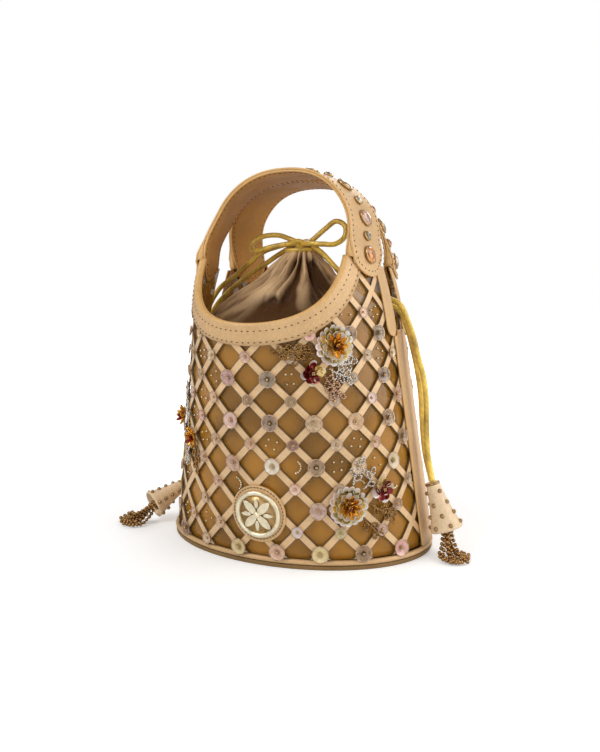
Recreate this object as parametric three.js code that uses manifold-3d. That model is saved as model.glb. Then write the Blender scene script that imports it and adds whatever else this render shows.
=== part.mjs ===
// Potli bag: oval-based lattice bucket bag with two ring handles and a drawstring pouch.
// Millimetres, +Z up. Front is -Y, the side seams are at +X and -X.
import * as THREE from 'three';
import { mergeVertices } from 'three/addons/utils/BufferGeometryUtils.js';
import Module from 'manifold-3d';

const wasm = await Module();
wasm.setup();

// Wall of the bag: ellipse half sizes at the floor and their change per mm of height
const BASE_HALF_W = 95;
const BASE_HALF_D = 67.6;
const W_SLOPE = -0.1327;
const D_SLOPE = 0.1534;
// Above PULL_Z the horns are drawn inwards by the handles
const PULL_Z = 150;
const PULL_X = 4;
const HORN_Z = 196;

// Layers, as offsets outwards from the wall surface
const GAP = 0.35;
const FILM_T = 0.5;
const FILM_OUT = -0.2;
const LATTICE_T = 1.1;
const LEATHER_T = 1.1;
const LATTICE_IN = GAP;
const TRIM_IN = LATTICE_IN + LATTICE_T + GAP;
const TRIM_OUT = TRIM_IN + LEATHER_T;
const LINING_IN = FILM_T - FILM_OUT + 1.5 * GAP;

// Base
const BOARD_T = 2.6;
const BOARD_LIP = 2.2;
const PIPING_R = 1.5;
const PIPING_OFF = 1.2;
const PIPING_Z = BOARD_T + GAP + PIPING_R;
const WALL_Z = PIPING_Z + PIPING_R + GAP;

// Scooped top edge: height over the arc length from the middle of the panel
const RIM_Z = 155.2;
const RIM_QUAD = 11.06;
const RIM_QUART = 3.94;
const RIM_UNIT = 50;
const RIM_BAND = 12.5;
const HORN_S = 72;

// Side seam, V gap and bands
const SEAM_GAP = 1.2;
const V_BOTTOM = 150;
const V_HALF = 10;
const SIDE_BAND_HALF = 15;
const TONGUE_W = 14.5;
const TONGUE_BOTTOM = 146.7;
const TONGUE_TOP = 190;

// Lattice
const PITCH_S = 27.5;
const PITCH_Z = 27.9;
const LATTICE_S0 = -1.35;
const LATTICE_Z0 = 10.2;
const STRIP_W = 5;

// Handles
const STRAP_W = 42;
const STRAP_W_TOP = 41;
const STRAP_T = 1.5;
const STRAP_S = 95.5;
const TAB_BOTTOM = 186.5;
const HOOP_Z = 200;
const HOOP_RISE = 64.3;
const HOOP_HALF_FRONT = 55.7;
const HOOP_HALF_BACK = 65.2;
const HOOP_POWER = 2.3;
const HOOP_SKEW = 3.5;
const HOOP_TOUCH = 0.4;
const STONE_PITCH = 27.4;
const STONE_R = 6.4;
const STONE_H = 2.6;

// Drawstring
const CORD_D = 4;
const KNOT = [2.5, -1.6, 214.2];

// Medallion
const PATCH_R = 18.5;
const BADGE_R = 15;
const BADGE_RING = 2.4;
const MEDAL_Z = 34.7;

const root = new THREE.Group();
root.name = 'potli_bag';

const leather = [0xd0ad7d, 0.42, 0.15];
const strip = [0xe0bd92, 0.5, 0.1];
const gold = [0xb8922f, 0.4, 0.3];

function add(name, geometry, look, parent = root) {
  const [color, roughness, metalness] = look;
  const mesh = new THREE.Mesh(geometry, new THREE.MeshStandardMaterial({ color, roughness, metalness }));
  mesh.name = name;
  parent.add(mesh);
  return mesh;
}

// Half sizes of the wall ellipse at height z
function halves(z) {
  const over = Math.max(0, z - PULL_Z) / (HORN_Z - PULL_Z);
  return [BASE_HALF_W + W_SLOPE * z - PULL_X * over * over, BASE_HALF_D + D_SLOPE * z];
}

// Angle on the ellipse at arc length s from the front middle, towards +X; the side seam stays at SIDE_S
const N_ARC = 360;
function arcTable(z) {
  const [a, b] = halves(z);
  const table = [0];
  let length = 0;
  for (let i = 1; i <= N_ARC; i += 1) {
    const t = ((i - 0.5) / N_ARC) * (Math.PI / 2);
    length += Math.hypot(a * Math.cos(t), b * Math.sin(t)) * (Math.PI / 2 / N_ARC);
    table.push(length);
  }
  return table;
}
const tables = new Map();
function tableAt(z) {
  const key = Math.round(z * 20);
  if (!tables.has(key)) tables.set(key, arcTable(z));
  return tables.get(key);
}
const SIDE_S = tableAt(V_BOTTOM)[N_ARC];
function angleAt(s, z) {
  const table = tableAt(z);
  const q = table[N_ARC];
  const size = Math.abs(s) + (q - SIDE_S) * (Math.abs(s) / SIDE_S) ** 4;
  const folded = size > q ? 2 * q - size : size;
  let i = 1;
  while (i < N_ARC && table[i] < folded) i += 1;
  const part = (folded - table[i - 1]) / (table[i] - table[i - 1]);
  const t = ((i - 1 + part) / N_ARC) * (Math.PI / 2);
  return Math.sign(s) * (size > q ? Math.PI - t : t);
}

// Point of the front wall at arc length s, height z, moved outwards by off
function wall(s, z, off) {
  const [a, b] = halves(z);
  const t = angleAt(s, z);
  const nx = Math.sin(t) / a;
  const ny = -Math.cos(t) / b;
  const n = Math.hypot(nx, ny);
  return new THREE.Vector3(a * Math.sin(t) + (off * nx) / n, -b * Math.cos(t) + (off * ny) / n, z);
}

// Closed solid from stacked rows of section points, rows[i][j]; ring sections, flat ends
function skin(rows) {
  const nv = rows.length;
  const nu = rows[0].length;
  const position = [];
  rows.forEach((row) => row.forEach((p) => position.push(p.x, p.y, p.z)));
  const index = [];
  for (let i = 0; i + 1 < nv; i += 1) {
    for (let j = 0; j < nu; j += 1) {
      const k = (j + 1) % nu;
      const [a, b, c, d] = [i * nu + j, i * nu + k, (i + 1) * nu + k, (i + 1) * nu + j];
      index.push(a, b, c, a, c, d);
    }
  }
  for (const [start, flip] of [[0, true], [(nv - 1) * nu, false]]) {
    const centre = new THREE.Vector3();
    for (let j = 0; j < nu; j += 1) centre.add(rows[start / nu][j]);
    centre.divideScalar(nu);
    position.push(centre.x, centre.y, centre.z);
    const m = position.length / 3 - 1;
    for (let j = 0; j < nu; j += 1) {
      const k = (j + 1) % nu;
      index.push(...(flip ? [m, start + k, start + j] : [m, start + j, start + k]));
    }
  }
  return closed(position, index);
}

// Closed sheet between an inner and an outer grid surface, each at(u, v, side)
function sheet(at, us, vs) {
  const nu = us.length;
  const nv = vs.length;
  const position = [];
  for (const side of [0, 1]) {
    us.forEach((u) => vs.forEach((v) => position.push(...at(u, v, side).toArray())));
  }
  const id = (side, i, j) => side * nu * nv + i * nv + j;
  const index = [];
  const quad = (a, b, c, d) => index.push(a, b, c, a, c, d);
  for (let i = 0; i + 1 < nu; i += 1) {
    for (let j = 0; j + 1 < nv; j += 1) {
      quad(id(1, i, j), id(1, i + 1, j), id(1, i + 1, j + 1), id(1, i, j + 1));
      quad(id(0, i, j), id(0, i, j + 1), id(0, i + 1, j + 1), id(0, i + 1, j));
    }
  }
  for (let i = 0; i + 1 < nu; i += 1) {
    quad(id(0, i, 0), id(0, i + 1, 0), id(1, i + 1, 0), id(1, i, 0));
    quad(id(1, i, nv - 1), id(1, i + 1, nv - 1), id(0, i + 1, nv - 1), id(0, i, nv - 1));
  }
  for (let j = 0; j + 1 < nv; j += 1) {
    quad(id(1, 0, j), id(1, 0, j + 1), id(0, 0, j + 1), id(0, 0, j));
    quad(id(0, nu - 1, j), id(0, nu - 1, j + 1), id(1, nu - 1, j + 1), id(1, nu - 1, j));
  }
  return closed(position, index);
}

// Indexed geometry with merged corners and faces turned outwards
function closed(position, index) {
  const raw = new THREE.BufferGeometry();
  raw.setAttribute('position', new THREE.Float32BufferAttribute(position, 3));
  raw.setIndex(index);
  const geometry = mergeVertices(raw, 1e-4);
  const p = geometry.getAttribute('position');
  const tri = geometry.index.array;
  const keep = [];
  let volume = 0;
  const [a, b, c] = [new THREE.Vector3(), new THREE.Vector3(), new THREE.Vector3()];
  for (let i = 0; i < tri.length; i += 3) {
    if (tri[i] === tri[i + 1] || tri[i + 1] === tri[i + 2] || tri[i] === tri[i + 2]) continue;
    a.fromBufferAttribute(p, tri[i]);
    b.fromBufferAttribute(p, tri[i + 1]);
    c.fromBufferAttribute(p, tri[i + 2]);
    volume += a.dot(b.clone().cross(c));
    keep.push(tri[i], tri[i + 1], tri[i + 2]);
  }
  if (volume < 0) {
    for (let i = 0; i < keep.length; i += 3) [keep[i], keep[i + 1]] = [keep[i + 1], keep[i]];
  }
  geometry.setIndex(keep);
  geometry.computeVertexNormals();
  return geometry;
}

// A copy with positions only, and the same made into a closed solid
function bare(geometry) {
  const copy = geometry.clone();
  copy.deleteAttribute('normal');
  copy.deleteAttribute('uv');
  return copy;
}
function solid(geometry) {
  const merged = mergeVertices(bare(geometry), 1e-4);
  return closed(Array.from(merged.getAttribute('position').array), Array.from(merged.index.array));
}

function body(geometry) {
  const vertProperties = new Float32Array(geometry.getAttribute('position').array);
  const triVerts = new Uint32Array(geometry.index.array);
  return new wasm.Manifold(new wasm.Mesh({ numProp: 3, vertProperties, triVerts }));
}
// The piece with the most triangles of a cut solid, without the loose ends of strips
function largest({ vertProperties, triVerts }) {
  const merged = mergeVertices(new THREE.BufferGeometry()
    .setAttribute('position', new THREE.Float32BufferAttribute(vertProperties, 3))
    .setIndex(Array.from(triVerts)), 1e-4);
  const tri = merged.index.array;
  const owner = Array.from({ length: merged.getAttribute('position').count }, (_, i) => i);
  const find = (i) => {
    let k = i;
    while (owner[k] !== k) k = owner[k];
    owner[i] = k;
    return k;
  };
  for (let i = 0; i < tri.length; i += 3) {
    owner[find(tri[i + 1])] = find(tri[i]);
    owner[find(tri[i + 2])] = find(tri[i]);
  }
  const groups = new Map();
  for (let i = 0; i < tri.length; i += 3) {
    const key = find(tri[i]);
    if (!groups.has(key)) groups.set(key, []);
    groups.get(key).push(tri[i], tri[i + 1], tri[i + 2]);
  }
  const best = [...groups.values()].sort((a, b) => b.length - a.length)[0];
  const used = [...new Set(best)];
  const renumber = new Map(used.map((old, i) => [old, i]));
  const p = merged.getAttribute('position');
  const position = used.flatMap((i) => [p.getX(i), p.getY(i), p.getZ(i)]);
  return closed(position, best.map((i) => renumber.get(i)));
}

function steps(from, to, n) {
  return Array.from({ length: n + 1 }, (_, i) => from + ((to - from) * i) / n);
}

// Height of the panel's top edge, and of its lower offset line, at arc length s
function rimZ(s) {
  const q = (s / RIM_UNIT) ** 2;
  return RIM_Z + RIM_QUAD * q + RIM_QUART * q * q;
}
function rimNormal(s) {
  const slope = (2 * RIM_QUAD * s) / RIM_UNIT ** 2 + (4 * RIM_QUART * s ** 3) / RIM_UNIT ** 4;
  const n = Math.hypot(slope, 1);
  return [slope / n, -1 / n];
}
function vGap(z) {
  if (z <= V_BOTTOM) return SEAM_GAP;
  const up = Math.min(1, (z - V_BOTTOM) / 10);
  return SEAM_GAP + (V_HALF - 2 - SEAM_GAP) * Math.sqrt(up) + (2 * (z - V_BOTTOM)) / (HORN_Z - V_BOTTOM);
}
function panelTop(s) {
  const size = Math.abs(s);
  if (size < HORN_S) return rimZ(size);
  let z = HORN_Z;
  while (z > V_BOTTOM && size > SIDE_S - vGap(z)) z -= 0.5;
  return z;
}

// A piece for the front and its twin, turned half round, for the back
function pair(name, geometry, look) {
  add(`front_${name}`, geometry, look);
  add(`back_${name}`, geometry.clone(), look).rotation.z = Math.PI;
}

// Base board and piping
{
  const oval = new THREE.Shape();
  oval.absellipse(0, 0, BASE_HALF_W + BOARD_LIP, BASE_HALF_D + BOARD_LIP, 0, Math.PI * 2, false, 0);
  const board = new THREE.ExtrudeGeometry(oval, { depth: BOARD_T, bevelEnabled: false, curveSegments: 28 });
  add('base_board', board, leather);

  const rows = steps(0, 1, 44).slice(0, -1).map((u) => {
    const t = u * Math.PI * 2;
    const [a, b] = [BASE_HALF_W + PIPING_OFF, BASE_HALF_D + PIPING_OFF];
    const centre = new THREE.Vector3(a * Math.cos(t), b * Math.sin(t), PIPING_Z);
    const out = new THREE.Vector3(Math.cos(t) / a, Math.sin(t) / b, 0).normalize();
    return steps(0, 8, 8).slice(0, -1).map((k) => {
      const w = (k / 8) * Math.PI * 2;
      const p = centre.clone().addScaledVector(out, PIPING_R * Math.cos(w));
      return p.setZ(PIPING_Z + PIPING_R * Math.sin(w));
    });
  });
  const nu = 8;
  const position = rows.flat().flatMap((p) => p.toArray());
  const index = [];
  rows.forEach((_, i) => {
    const next = (i + 1) % rows.length;
    for (let j = 0; j < nu; j += 1) {
      const k = (j + 1) % nu;
      index.push(i * nu + j, i * nu + k, next * nu + k, i * nu + j, next * nu + k, next * nu + j);
    }
  });
  add('base_piping', closed(position, index), leather);
}

// Film panels
const PANEL_ROWS = [0, 0.72, 0.81, 0.9, 1];
function panelColumns() {
  const inner = steps(0, HORN_S - 1, 9);
  const edge = SIDE_S - vGap(HORN_Z);
  const low = SIDE_S - SEAM_GAP;
  const right = [...inner, ...steps(HORN_S, edge - 0.4, 5), ...steps(edge, low, 5)];
  return [...right.slice(1).map((s) => -s).reverse(), ...right];
}
{
  const at = (s, v, side) => {
    const z = WALL_Z + (panelTop(s) - WALL_Z) * v;
    return wall(s, z, FILM_OUT - (side ? 0 : FILM_T));
  };
  pair('film', sheet(at, panelColumns(), PANEL_ROWS), [0xb99550, 0.15, 0]);
}

// Lattice panels: crossings and strips between the diamond holes, cut off at the panel's edges
{
  const [ha, hb] = [PITCH_S / 2, PITCH_Z / 2];
  const shrink = 1 - STRIP_W / 2 / ((ha * hb) / Math.hypot(ha, hb));
  const columns = Math.ceil(SIDE_S / ha) + 1;
  const levels = Math.ceil(HORN_Z / hb) + 1;
  const corners = [];
  const ids = new Map();
  const corner = (i, j, x, y) => {
    const key = [i, j, x, y].join();
    if (!ids.has(key)) {
      ids.set(key, corners.length);
      corners.push([LATTICE_S0 + (i + x * shrink) * ha, LATTICE_Z0 + (j + y * shrink) * hb]);
    }
    return ids.get(key);
  };
  const quads = [];
  for (let i = -columns; i <= columns; i += 1) {
    for (let j = -1; j <= levels; j += 1) {
      if ((i + j) % 2 === 0) continue;
      const [left, right] = [corner(i - 1, j, 1, 0), corner(i + 1, j, -1, 0)];
      const [low, high] = [corner(i, j - 1, 0, 1), corner(i, j + 1, 0, -1)];
      quads.push([left, low, right, high]);
      quads.push([right, corner(i + 1, j, 0, 1), corner(i, j + 1, 1, 0), high]);
      quads.push([high, corner(i, j + 1, -1, 0), corner(i - 1, j, 0, 1), left]);
    }
  }
  const position = [];
  for (const off of [LATTICE_IN, LATTICE_IN + LATTICE_T]) {
    corners.forEach(([s, z]) => position.push(...wall(s, z, off).toArray()));
  }
  const n = corners.length;
  const edges = new Set(quads.flatMap((q) => q.map((a, k) => `${a}_${q[(k + 1) % 4]}`)));
  const index = [];
  for (const q of quads) {
    index.push(q[0] + n, q[1] + n, q[2] + n, q[0] + n, q[2] + n, q[3] + n);
    index.push(q[0], q[2], q[1], q[0], q[3], q[2]);
    q.forEach((a, k) => {
      const b = q[(k + 1) % 4];
      if (!edges.has(`${b}_${a}`)) index.push(a, b, b + n, a, b + n, a + n);
    });
  }
  const net = body(closed(position, index));
  const frame = (s, v, side) => {
    const z = WALL_Z + (panelTop(s) - 1.6 - WALL_Z) * v;
    return wall(s, z, side ? LATTICE_T + 3 : -3);
  };
  const cut = net.intersect(body(sheet(frame, panelColumns(), PANEL_ROWS)));
  pair('lattice', largest(cut.getMesh()), strip);
}

// Rim bands: a leather binding folded over the scooped edge
{
  const rows = steps(-HORN_S, HORN_S, 34).map((s) => {
    const [nx, nz] = rimNormal(s);
    const section = [
      [RIM_BAND, TRIM_OUT], [-1.8, TRIM_OUT],
      [-1.8, -LINING_IN - LEATHER_T], [RIM_BAND, -LINING_IN - LEATHER_T],
      [RIM_BAND, -LINING_IN], [-2 * GAP, -LINING_IN],
      [-2 * GAP, TRIM_IN], [RIM_BAND, TRIM_IN],
    ];
    return section.map(([d, off]) => wall(s + nx * d, rimZ(s) + nz * d, off));
  });
  const nu = 8;
  const position = rows.flat().flatMap((q) => q.toArray());
  const index = [];
  for (let i = 0; i + 1 < rows.length; i += 1) {
    for (let j = 0; j < nu; j += 1) {
      const k = (j + 1) % nu;
      const [a, b, c, d] = [i * nu + j, i * nu + k, (i + 1) * nu + k, (i + 1) * nu + j];
      index.push(a, b, c, a, c, d);
    }
  }
  const cap = [[0, 1, 6], [0, 6, 7], [1, 2, 5], [1, 5, 6], [2, 3, 4], [2, 4, 5]];
  const end = (rows.length - 1) * nu;
  cap.forEach(([a, b, c]) => {
    index.push(a, c, b);
    index.push(end + a, end + b, end + c);
  });
  pair('rim_band', closed(position, index), leather);
}

// Side bands over the seams, their tops following the V gap
{
  const us = steps(-SIDE_BAND_HALF, SIDE_BAND_HALF, 8);
  const at = (u, v, side) => {
    const across = Math.abs(u);
    const top = across > V_HALF - 1.6 ? TONGUE_BOTTOM - 1.2 : V_BOTTOM + 1;
    const z = WALL_Z + (top - WALL_Z) * v;
    const s = SIDE_S + u;
    return wall(s, z, side ? TRIM_OUT : TRIM_IN);
  };
  add('side_band_right', sheet(at, us, steps(0, 1, 3)), leather);
  add('side_band_left', sheet(at, us, steps(0, 1, 3)), leather).rotation.z = Math.PI;
}

// Horn tongues: leather strips with a round lower end along the V gap
{
  const r = TONGUE_W / 2;
  const us = [-1, -0.85, -0.5, 0, 0.5, 0.85, 1];
  for (const [name, sign, turn] of [
    ['front_tongue_right', 1, 0], ['front_tongue_left', -1, 0],
    ['back_tongue_left', 1, Math.PI], ['back_tongue_right', -1, Math.PI],
  ]) {
    const at = (u, v, side) => {
      const bottom = TONGUE_BOTTOM + r - r * Math.sqrt(Math.max(0, 1 - u * u));
      const z = bottom + (TONGUE_TOP - bottom) * v;
      const s = SIDE_S - V_HALF - TONGUE_W / 2 + (u * TONGUE_W) / 2;
      return wall(sign * s, z, side ? TRIM_OUT : TRIM_IN);
    };
    add(name, sheet(at, us, steps(0, 1, 4)), leather).rotation.z = turn;
  }
}

// Handles: two rails (front edge, back edge) of the middle surface, joined by the strap
const FOOT = HOOP_Z - 3;
function rail(theta, half, foot, yTop) {
  // theta runs from 0 at the right foot over the top to PI at the left foot
  const c = Math.cos(theta);
  const x = Math.sign(c) * half * Math.abs(c) ** (2 / HOOP_POWER);
  const z = HOOP_Z + HOOP_RISE * Math.abs(Math.sin(theta)) ** (2 / HOOP_POWER);
  const up = Math.min(1, (z - HOOP_Z) / 38);
  const ease = up * up * (3 - 2 * up);
  return new THREE.Vector3(x + HOOP_SKEW * ((z - HOOP_Z) / HOOP_RISE) ** 2, foot + (yTop - foot) * ease, z);
}
const footFront = wall(STRAP_S - STRAP_W / 2, FOOT, 0);
const footBack = wall(STRAP_S + STRAP_W / 2, FOOT, 0);
const spine = [];
{
  const tab = steps(TAB_BOTTOM, FOOT, 5);
  tab.forEach((z) => spine.push([z, 1]));
  steps(0, 1, 30).forEach((u) => spine.push([null, u]));
  [...tab].reverse().forEach((z) => spine.push([z, -1]));
}
// Middle surface of the front handle: i along the spine, w from -1 (front edge) to 1 (back edge)
function strapPoint(i, w) {
  const [z, u] = spine[i];
  if (z !== null) {
    const p = wall(STRAP_S + (w * STRAP_W) / 2, z, 0);
    return u > 0 ? p : new THREE.Vector3(-p.x, p.y, p.z);
  }
  const a = rail(u * Math.PI, HOOP_HALF_FRONT, footFront.y, -HOOP_TOUCH - STRAP_W_TOP);
  const b = rail(u * Math.PI, HOOP_HALF_BACK, footBack.y, -HOOP_TOUCH);
  return a.lerp(b, (w + 1) / 2);
}
function strapNormal(i, w) {
  const lo = Math.max(0, i - 1);
  const hi = Math.min(spine.length - 1, i + 1);
  const along = strapPoint(hi, w).sub(strapPoint(lo, w));
  const across = strapPoint(i, 1).sub(strapPoint(i, -1));
  return along.cross(across).normalize();
}
function strapOffset(i, outer) {
  const z = strapPoint(i, 0).z;
  const k = THREE.MathUtils.smoothstep(z, HOOP_Z - 2, HOOP_Z + 24);
  const foot = outer ? TRIM_OUT + GAP : -LINING_IN - STRAP_T;
  const top = outer ? GAP / 2 : -GAP / 2 - STRAP_T;
  return foot + (top - foot) * k;
}
function strapWidth(i) {
  const low = strapPoint(i, 0).z - TAB_BOTTOM;
  const r = STRAP_W / 2;
  return low >= r ? 1 : Math.sqrt(Math.max(0.03, 1 - ((r - low) / r) ** 2));
}
const flipNormal = strapNormal(20, 0).z < 0 ? -1 : 1;
for (const [name, outer] of [['handle_strap', true], ['handle_lining', false]]) {
  const at = (i, w, side) => {
    const p = strapPoint(i, w * strapWidth(i));
    const off = strapOffset(i, outer) + (side ? STRAP_T : 0);
    return p.addScaledVector(strapNormal(i, w), off * flipNormal);
  };
  pair(name, sheet(at, spine.map((_, i) => i), [-1, 0, 1]), outer ? leather : [0x94703f, 0.6, 0]);
}

// Handle stones: large cabochons down the middle of each handle
{
  const middle = spine.map((_, i) => {
    const p = strapPoint(i, 0);
    return p.addScaledVector(strapNormal(i, 0), (strapOffset(i, true) + STRAP_T) * flipNormal);
  });
  const path = new THREE.CatmullRomCurve3(middle);
  path.arcLengthDivisions = 400;
  const length = path.getLength();
  const first = 15;
  const count = Math.floor((length - 2 * first) / STONE_PITCH) + 1;
  const profile = [
    [0, 0], [STONE_R, 0], [STONE_R, 1.1], [STONE_R - 1.1, 1.7], [STONE_R - 3, STONE_H], [0, STONE_H],
  ];
  const dome = solid(new THREE.LatheGeometry(profile.map(([x, y]) => new THREE.Vector2(x, y)), 10));
  const looks = [0xd99a20, 0xe8c9a8, 0xe9dcc0, 0xe6cfae, 0xe8c9a8, 0xe9dcc0, 0xe6cfae, 0xd99a20, 0xe8c9a8];
  for (const [side, turn] of [['front', 0], ['back', Math.PI]]) {
    const group = new THREE.Group();
    group.rotation.z = turn;
    root.add(group);
    for (let k = 0; k < count; k += 1) {
      const along = (first + ((length - 2 * first) * k) / (count - 1)) / length;
      const p = path.getPointAt(along);
      const near = Math.round(path.getUtoTmapping(along) * (spine.length - 1));
      const normal = strapNormal(near, 0).multiplyScalar(flipNormal);
      const mesh = add(`${side}_stone_${k + 1}`, dome.clone(), [looks[k % looks.length], 0.1, 0.1], group);
      mesh.quaternion.setFromUnitVectors(new THREE.Vector3(0, 1, 0), normal);
      mesh.position.copy(p).addScaledVector(normal, GAP + STONE_R ** 2 / (2 * HOOP_HALF_FRONT));
    }
  }
}

// Pouch: plain closed solid of the gathered satin pouch
{
  const inset = (z) => halves(z).map((h) => h - 4.5);
  // height, reach to -X, reach to +X, half depth
  const even = (z, less = 0) => [z, inset(z)[0] - less, inset(z)[0] - less, inset(z)[1] - less];
  const levels = [
    even(BOARD_T + GAP, 4), even(9), even(60), even(110), even(146), [157, 69, 66, 76], [168, 61.5, 54, 63],
    [178, 50.5, 38, 50], [187, 40.5, 28, 39], [195, 31, 21, 29], [201, 21.5, 15.5, 20], [206, 12.5, 10.5, 12],
    [209.6, 6.6, 6.8, 6.8],
  ];
  const rows = levels.map(([z, left, right, depth]) => steps(0, 1, 28).slice(0, -1).map((u) => {
    const t = u * Math.PI * 2;
    return new THREE.Vector3((right - left) / 2 + ((right + left) / 2) * Math.cos(t), depth * Math.sin(t), z);
  }));
  add('pouch', skin(rows), [0x957247, 0.7, 0]);
}

// Drawstring cords, bow and knot
function tube(points, radius, parts, sides) {
  const path = new THREE.CatmullRomCurve3(points.map((p) => new THREE.Vector3(...p)), false, 'centripetal');
  const ring = new THREE.Shape(steps(0, 1, sides).slice(0, -1).map((k) => {
    const t = k * Math.PI * 2;
    return new THREE.Vector2(radius * Math.cos(t), radius * Math.sin(t));
  }));
  return solid(new THREE.ExtrudeGeometry(ring, { steps: parts, extrudePath: path, bevelEnabled: false }));
}
const cord = (name, points, parts) => add(name, tube(points, CORD_D / 2, parts, 8), gold);
cord('cord_right_a', [
  [11, -4.4, 213.2], [20, -5, 206.5], [34, -4, 192], [47, -3, 183.5], [59, -2.5, 176], [70, -2.5, 172.6],
  [78, -3, 168.5], [83.5, -4, 158], [88, -5, 146], [91.5, -6, 132], [95.5, -7, 117], [97.2, -8, 102],
  [97.4, -9, 85], [98, -9.5, 67], [101.1, -10.1, 48.6],
], 24);
cord('cord_right_b', [
  [10.3, 0.6, 211.9], [22, 2.6, 202], [35, 3, 188], [47, 3, 179], [59, 3.2, 170.6], [70, 3.4, 167.6],
  [77, 3, 163], [82, 2, 152], [86, 0, 139], [89.5, -1.5, 124], [92.2, -2.5, 106], [93.2, -3.4, 88],
  [95, -4.2, 67], [99.6, -5.6, 47.9],
], 24);
cord('cord_left_a', [
  [-6.4, -3.8, 214.8], [-18, -4.6, 212], [-28, -5, 208.8], [-43.3, -4.5, 198.1], [-53.8, -4, 189.9],
  [-66.3, -3.4, 181.7], [-74.5, -3, 171], [-79, -3, 160], [-82, -3.4, 146], [-85.5, -4, 128],
  [-88.5, -4.5, 106], [-91.5, -4.5, 84], [-94.5, -4.5, 64], [-97.4, -3.4, 44], [-98.1, -0.7, 26],
], 24);
cord('cord_left_b', [
  [-6, 1, 213.2], [-20, 2.6, 206], [-31, 3.2, 199.4], [-43, 3.4, 192.6], [-54, 3.4, 185], [-65, 3, 176],
  [-73.5, 2.6, 167], [-79, 2, 157], [-82.2, 1.6, 142], [-85.6, 1.4, 122], [-88.6, 1.4, 100], [-91.7, 1.6, 78],
  [-94.8, 2, 58], [-99, 2.4, 40], [-102.3, 1.4, 25.4],
], 24);
cord('bow_left', [
  [-7.6, -1, 218.2], [-17, -2, 221.3], [-30, -3, 220.6], [-38.3, -4.6, 215.7], [-37.5, -6.6, 210.4],
  [-30, -9.6, 209.4], [-20, -10.4, 211.6], [-7.5, -9.6, 213.6],
], 18);
cord('bow_right', [
  [9.9, 1.1, 217], [20, 2, 225.4], [29, 1, 230.7], [36.3, 0, 226.7], [36.6, -2, 218.4], [30.7, -6, 213],
  [22, -9.6, 212.8], [12.8, -9.6, 213.4],
], 18);
{
  const ball = bare(new THREE.SphereGeometry(1, 12, 8));
  ball.scale(8.6, 6.2, 4.2);
  ball.translate(...KNOT);
  add('cord_knot', solid(ball), gold);
}

// Tassel cones, from the small top end to the open mouth, and their bead strands
function cone(name, top, mouth) {
  const [p, q] = [new THREE.Vector3(...top), new THREE.Vector3(...mouth)];
  const length = p.distanceTo(q);
  const profile = [
    [0, 0], [5.4, 0], [6.4, -length * 0.3], [9.2, -length * 0.68],
    [10.8, -length], [8.6, -length], [0, -length * 0.62],
  ];
  const lathe = new THREE.LatheGeometry(profile.map(([x, y]) => new THREE.Vector2(x, y)), 14);
  const mesh = add(name, solid(lathe), leather);
  mesh.quaternion.setFromUnitVectors(new THREE.Vector3(0, -1, 0), q.clone().sub(p).normalize());
  mesh.position.copy(p);
}
cone('cone_right', [100.4, -8.2, 47.6], [110.4, -9.4, 18]);
cone('cone_left', [-101, -1.2, 23.4], [-112.5, -23.5, 13]);

const beads = (name, points) => add(name, tube(points, 1.7, 8, 6), [0x6e5023, 0.35, 0.8]);
beads('beads_right_a', [
  [106.3, -11, 20.8], [107.6, -11.4, 16.5], [107.8, -14, 9], [106.5, -18, 3.4], [112, -23, 2.2],
  [118, -24, 2.2],
]);
beads('beads_right_b', [
  [112, -11, 22.8], [113.4, -10.6, 17.5], [115.5, -9.6, 9], [118, -10.5, 2.8], [122, -15, 2.2],
  [125, -20, 2.2],
]);
beads('beads_right_c', [
  [109.1, -5.75, 21.8], [110, -5.9, 16.5], [109, -4, 9], [109.6, -2, 3], [116, -3, 2.2], [124, -7, 2.2],
]);
beads('beads_left_a', [
  [-110.3, -19.2, 11.7], [-112.2, -23.4, 9.4], [-113.5, -30, 4.6], [-114, -35, 2.4],
  [-120.5, -41, 2.2], [-128, -40, 2.2],
]);
beads('beads_left_b', [
  [-113.5, -19.5, 16], [-115.6, -23.6, 13.6], [-121, -27, 6], [-126, -30.5, 2.4], [-132, -32, 2.2],
  [-138, -30, 2.2],
]);
beads('beads_left_c', [
  [-108.7, -22, 16], [-110.8, -26.1, 14], [-118, -33, 10], [-123, -33.5, 7.8], [-128.5, -28.5, 7],
  [-135, -22.5, 3.6], [-139.5, -18, 2.2],
]);

// Medallion: leather patch and raised badge
function onWall(s, z, off) {
  const p = wall(s, z, off);
  const dx = wall(s + 1, z, off).sub(wall(s - 1, z, off)).normalize();
  const dz = wall(s, z + 1, off).sub(wall(s, z - 1, off)).normalize();
  const out = dx.clone().cross(dz).normalize();
  const up = out.clone().cross(dx);
  return [p, new THREE.Quaternion().setFromRotationMatrix(new THREE.Matrix4().makeBasis(dx, up, out))];
}
{
  const disc = (u, v, side) => {
    const t = v * Math.PI * 2;
    const r = Math.max(0.02, u) * PATCH_R;
    return wall(r * Math.cos(t), MEDAL_Z + r * Math.sin(t), TRIM_IN + (side ? 1.3 : 0));
  };
  const rows = [];
  for (const side of [0, 1]) {
    for (const u of side ? [1, 0.66, 0.33] : [0.33, 0.66, 1]) {
      rows.push(steps(0, 1, 28).slice(0, -1).map((v) => disc(u, v, side)));
    }
  }
  add('medallion_patch', skin(rows), leather);

  const inside = BADGE_R - BADGE_RING;
  const ring = new THREE.LatheGeometry([
    [0, 0], [BADGE_R, 0], [BADGE_R, 1.3], [BADGE_R - 0.8, 1.8], [inside, 1.3], [inside, 0.7], [0, 0.7],
  ].map(([x, y]) => new THREE.Vector2(x, y)), 28);
  ring.rotateX(Math.PI / 2);
  const badge = add('medallion_badge', solid(ring), [0xf3e3ab, 0.25, 0.9]);
  const [p, turn] = onWall(0, MEDAL_Z, TRIM_IN + 1.3 + GAP + 0.15);
  badge.position.copy(p);
  badge.quaternion.copy(turn);
}

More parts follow.
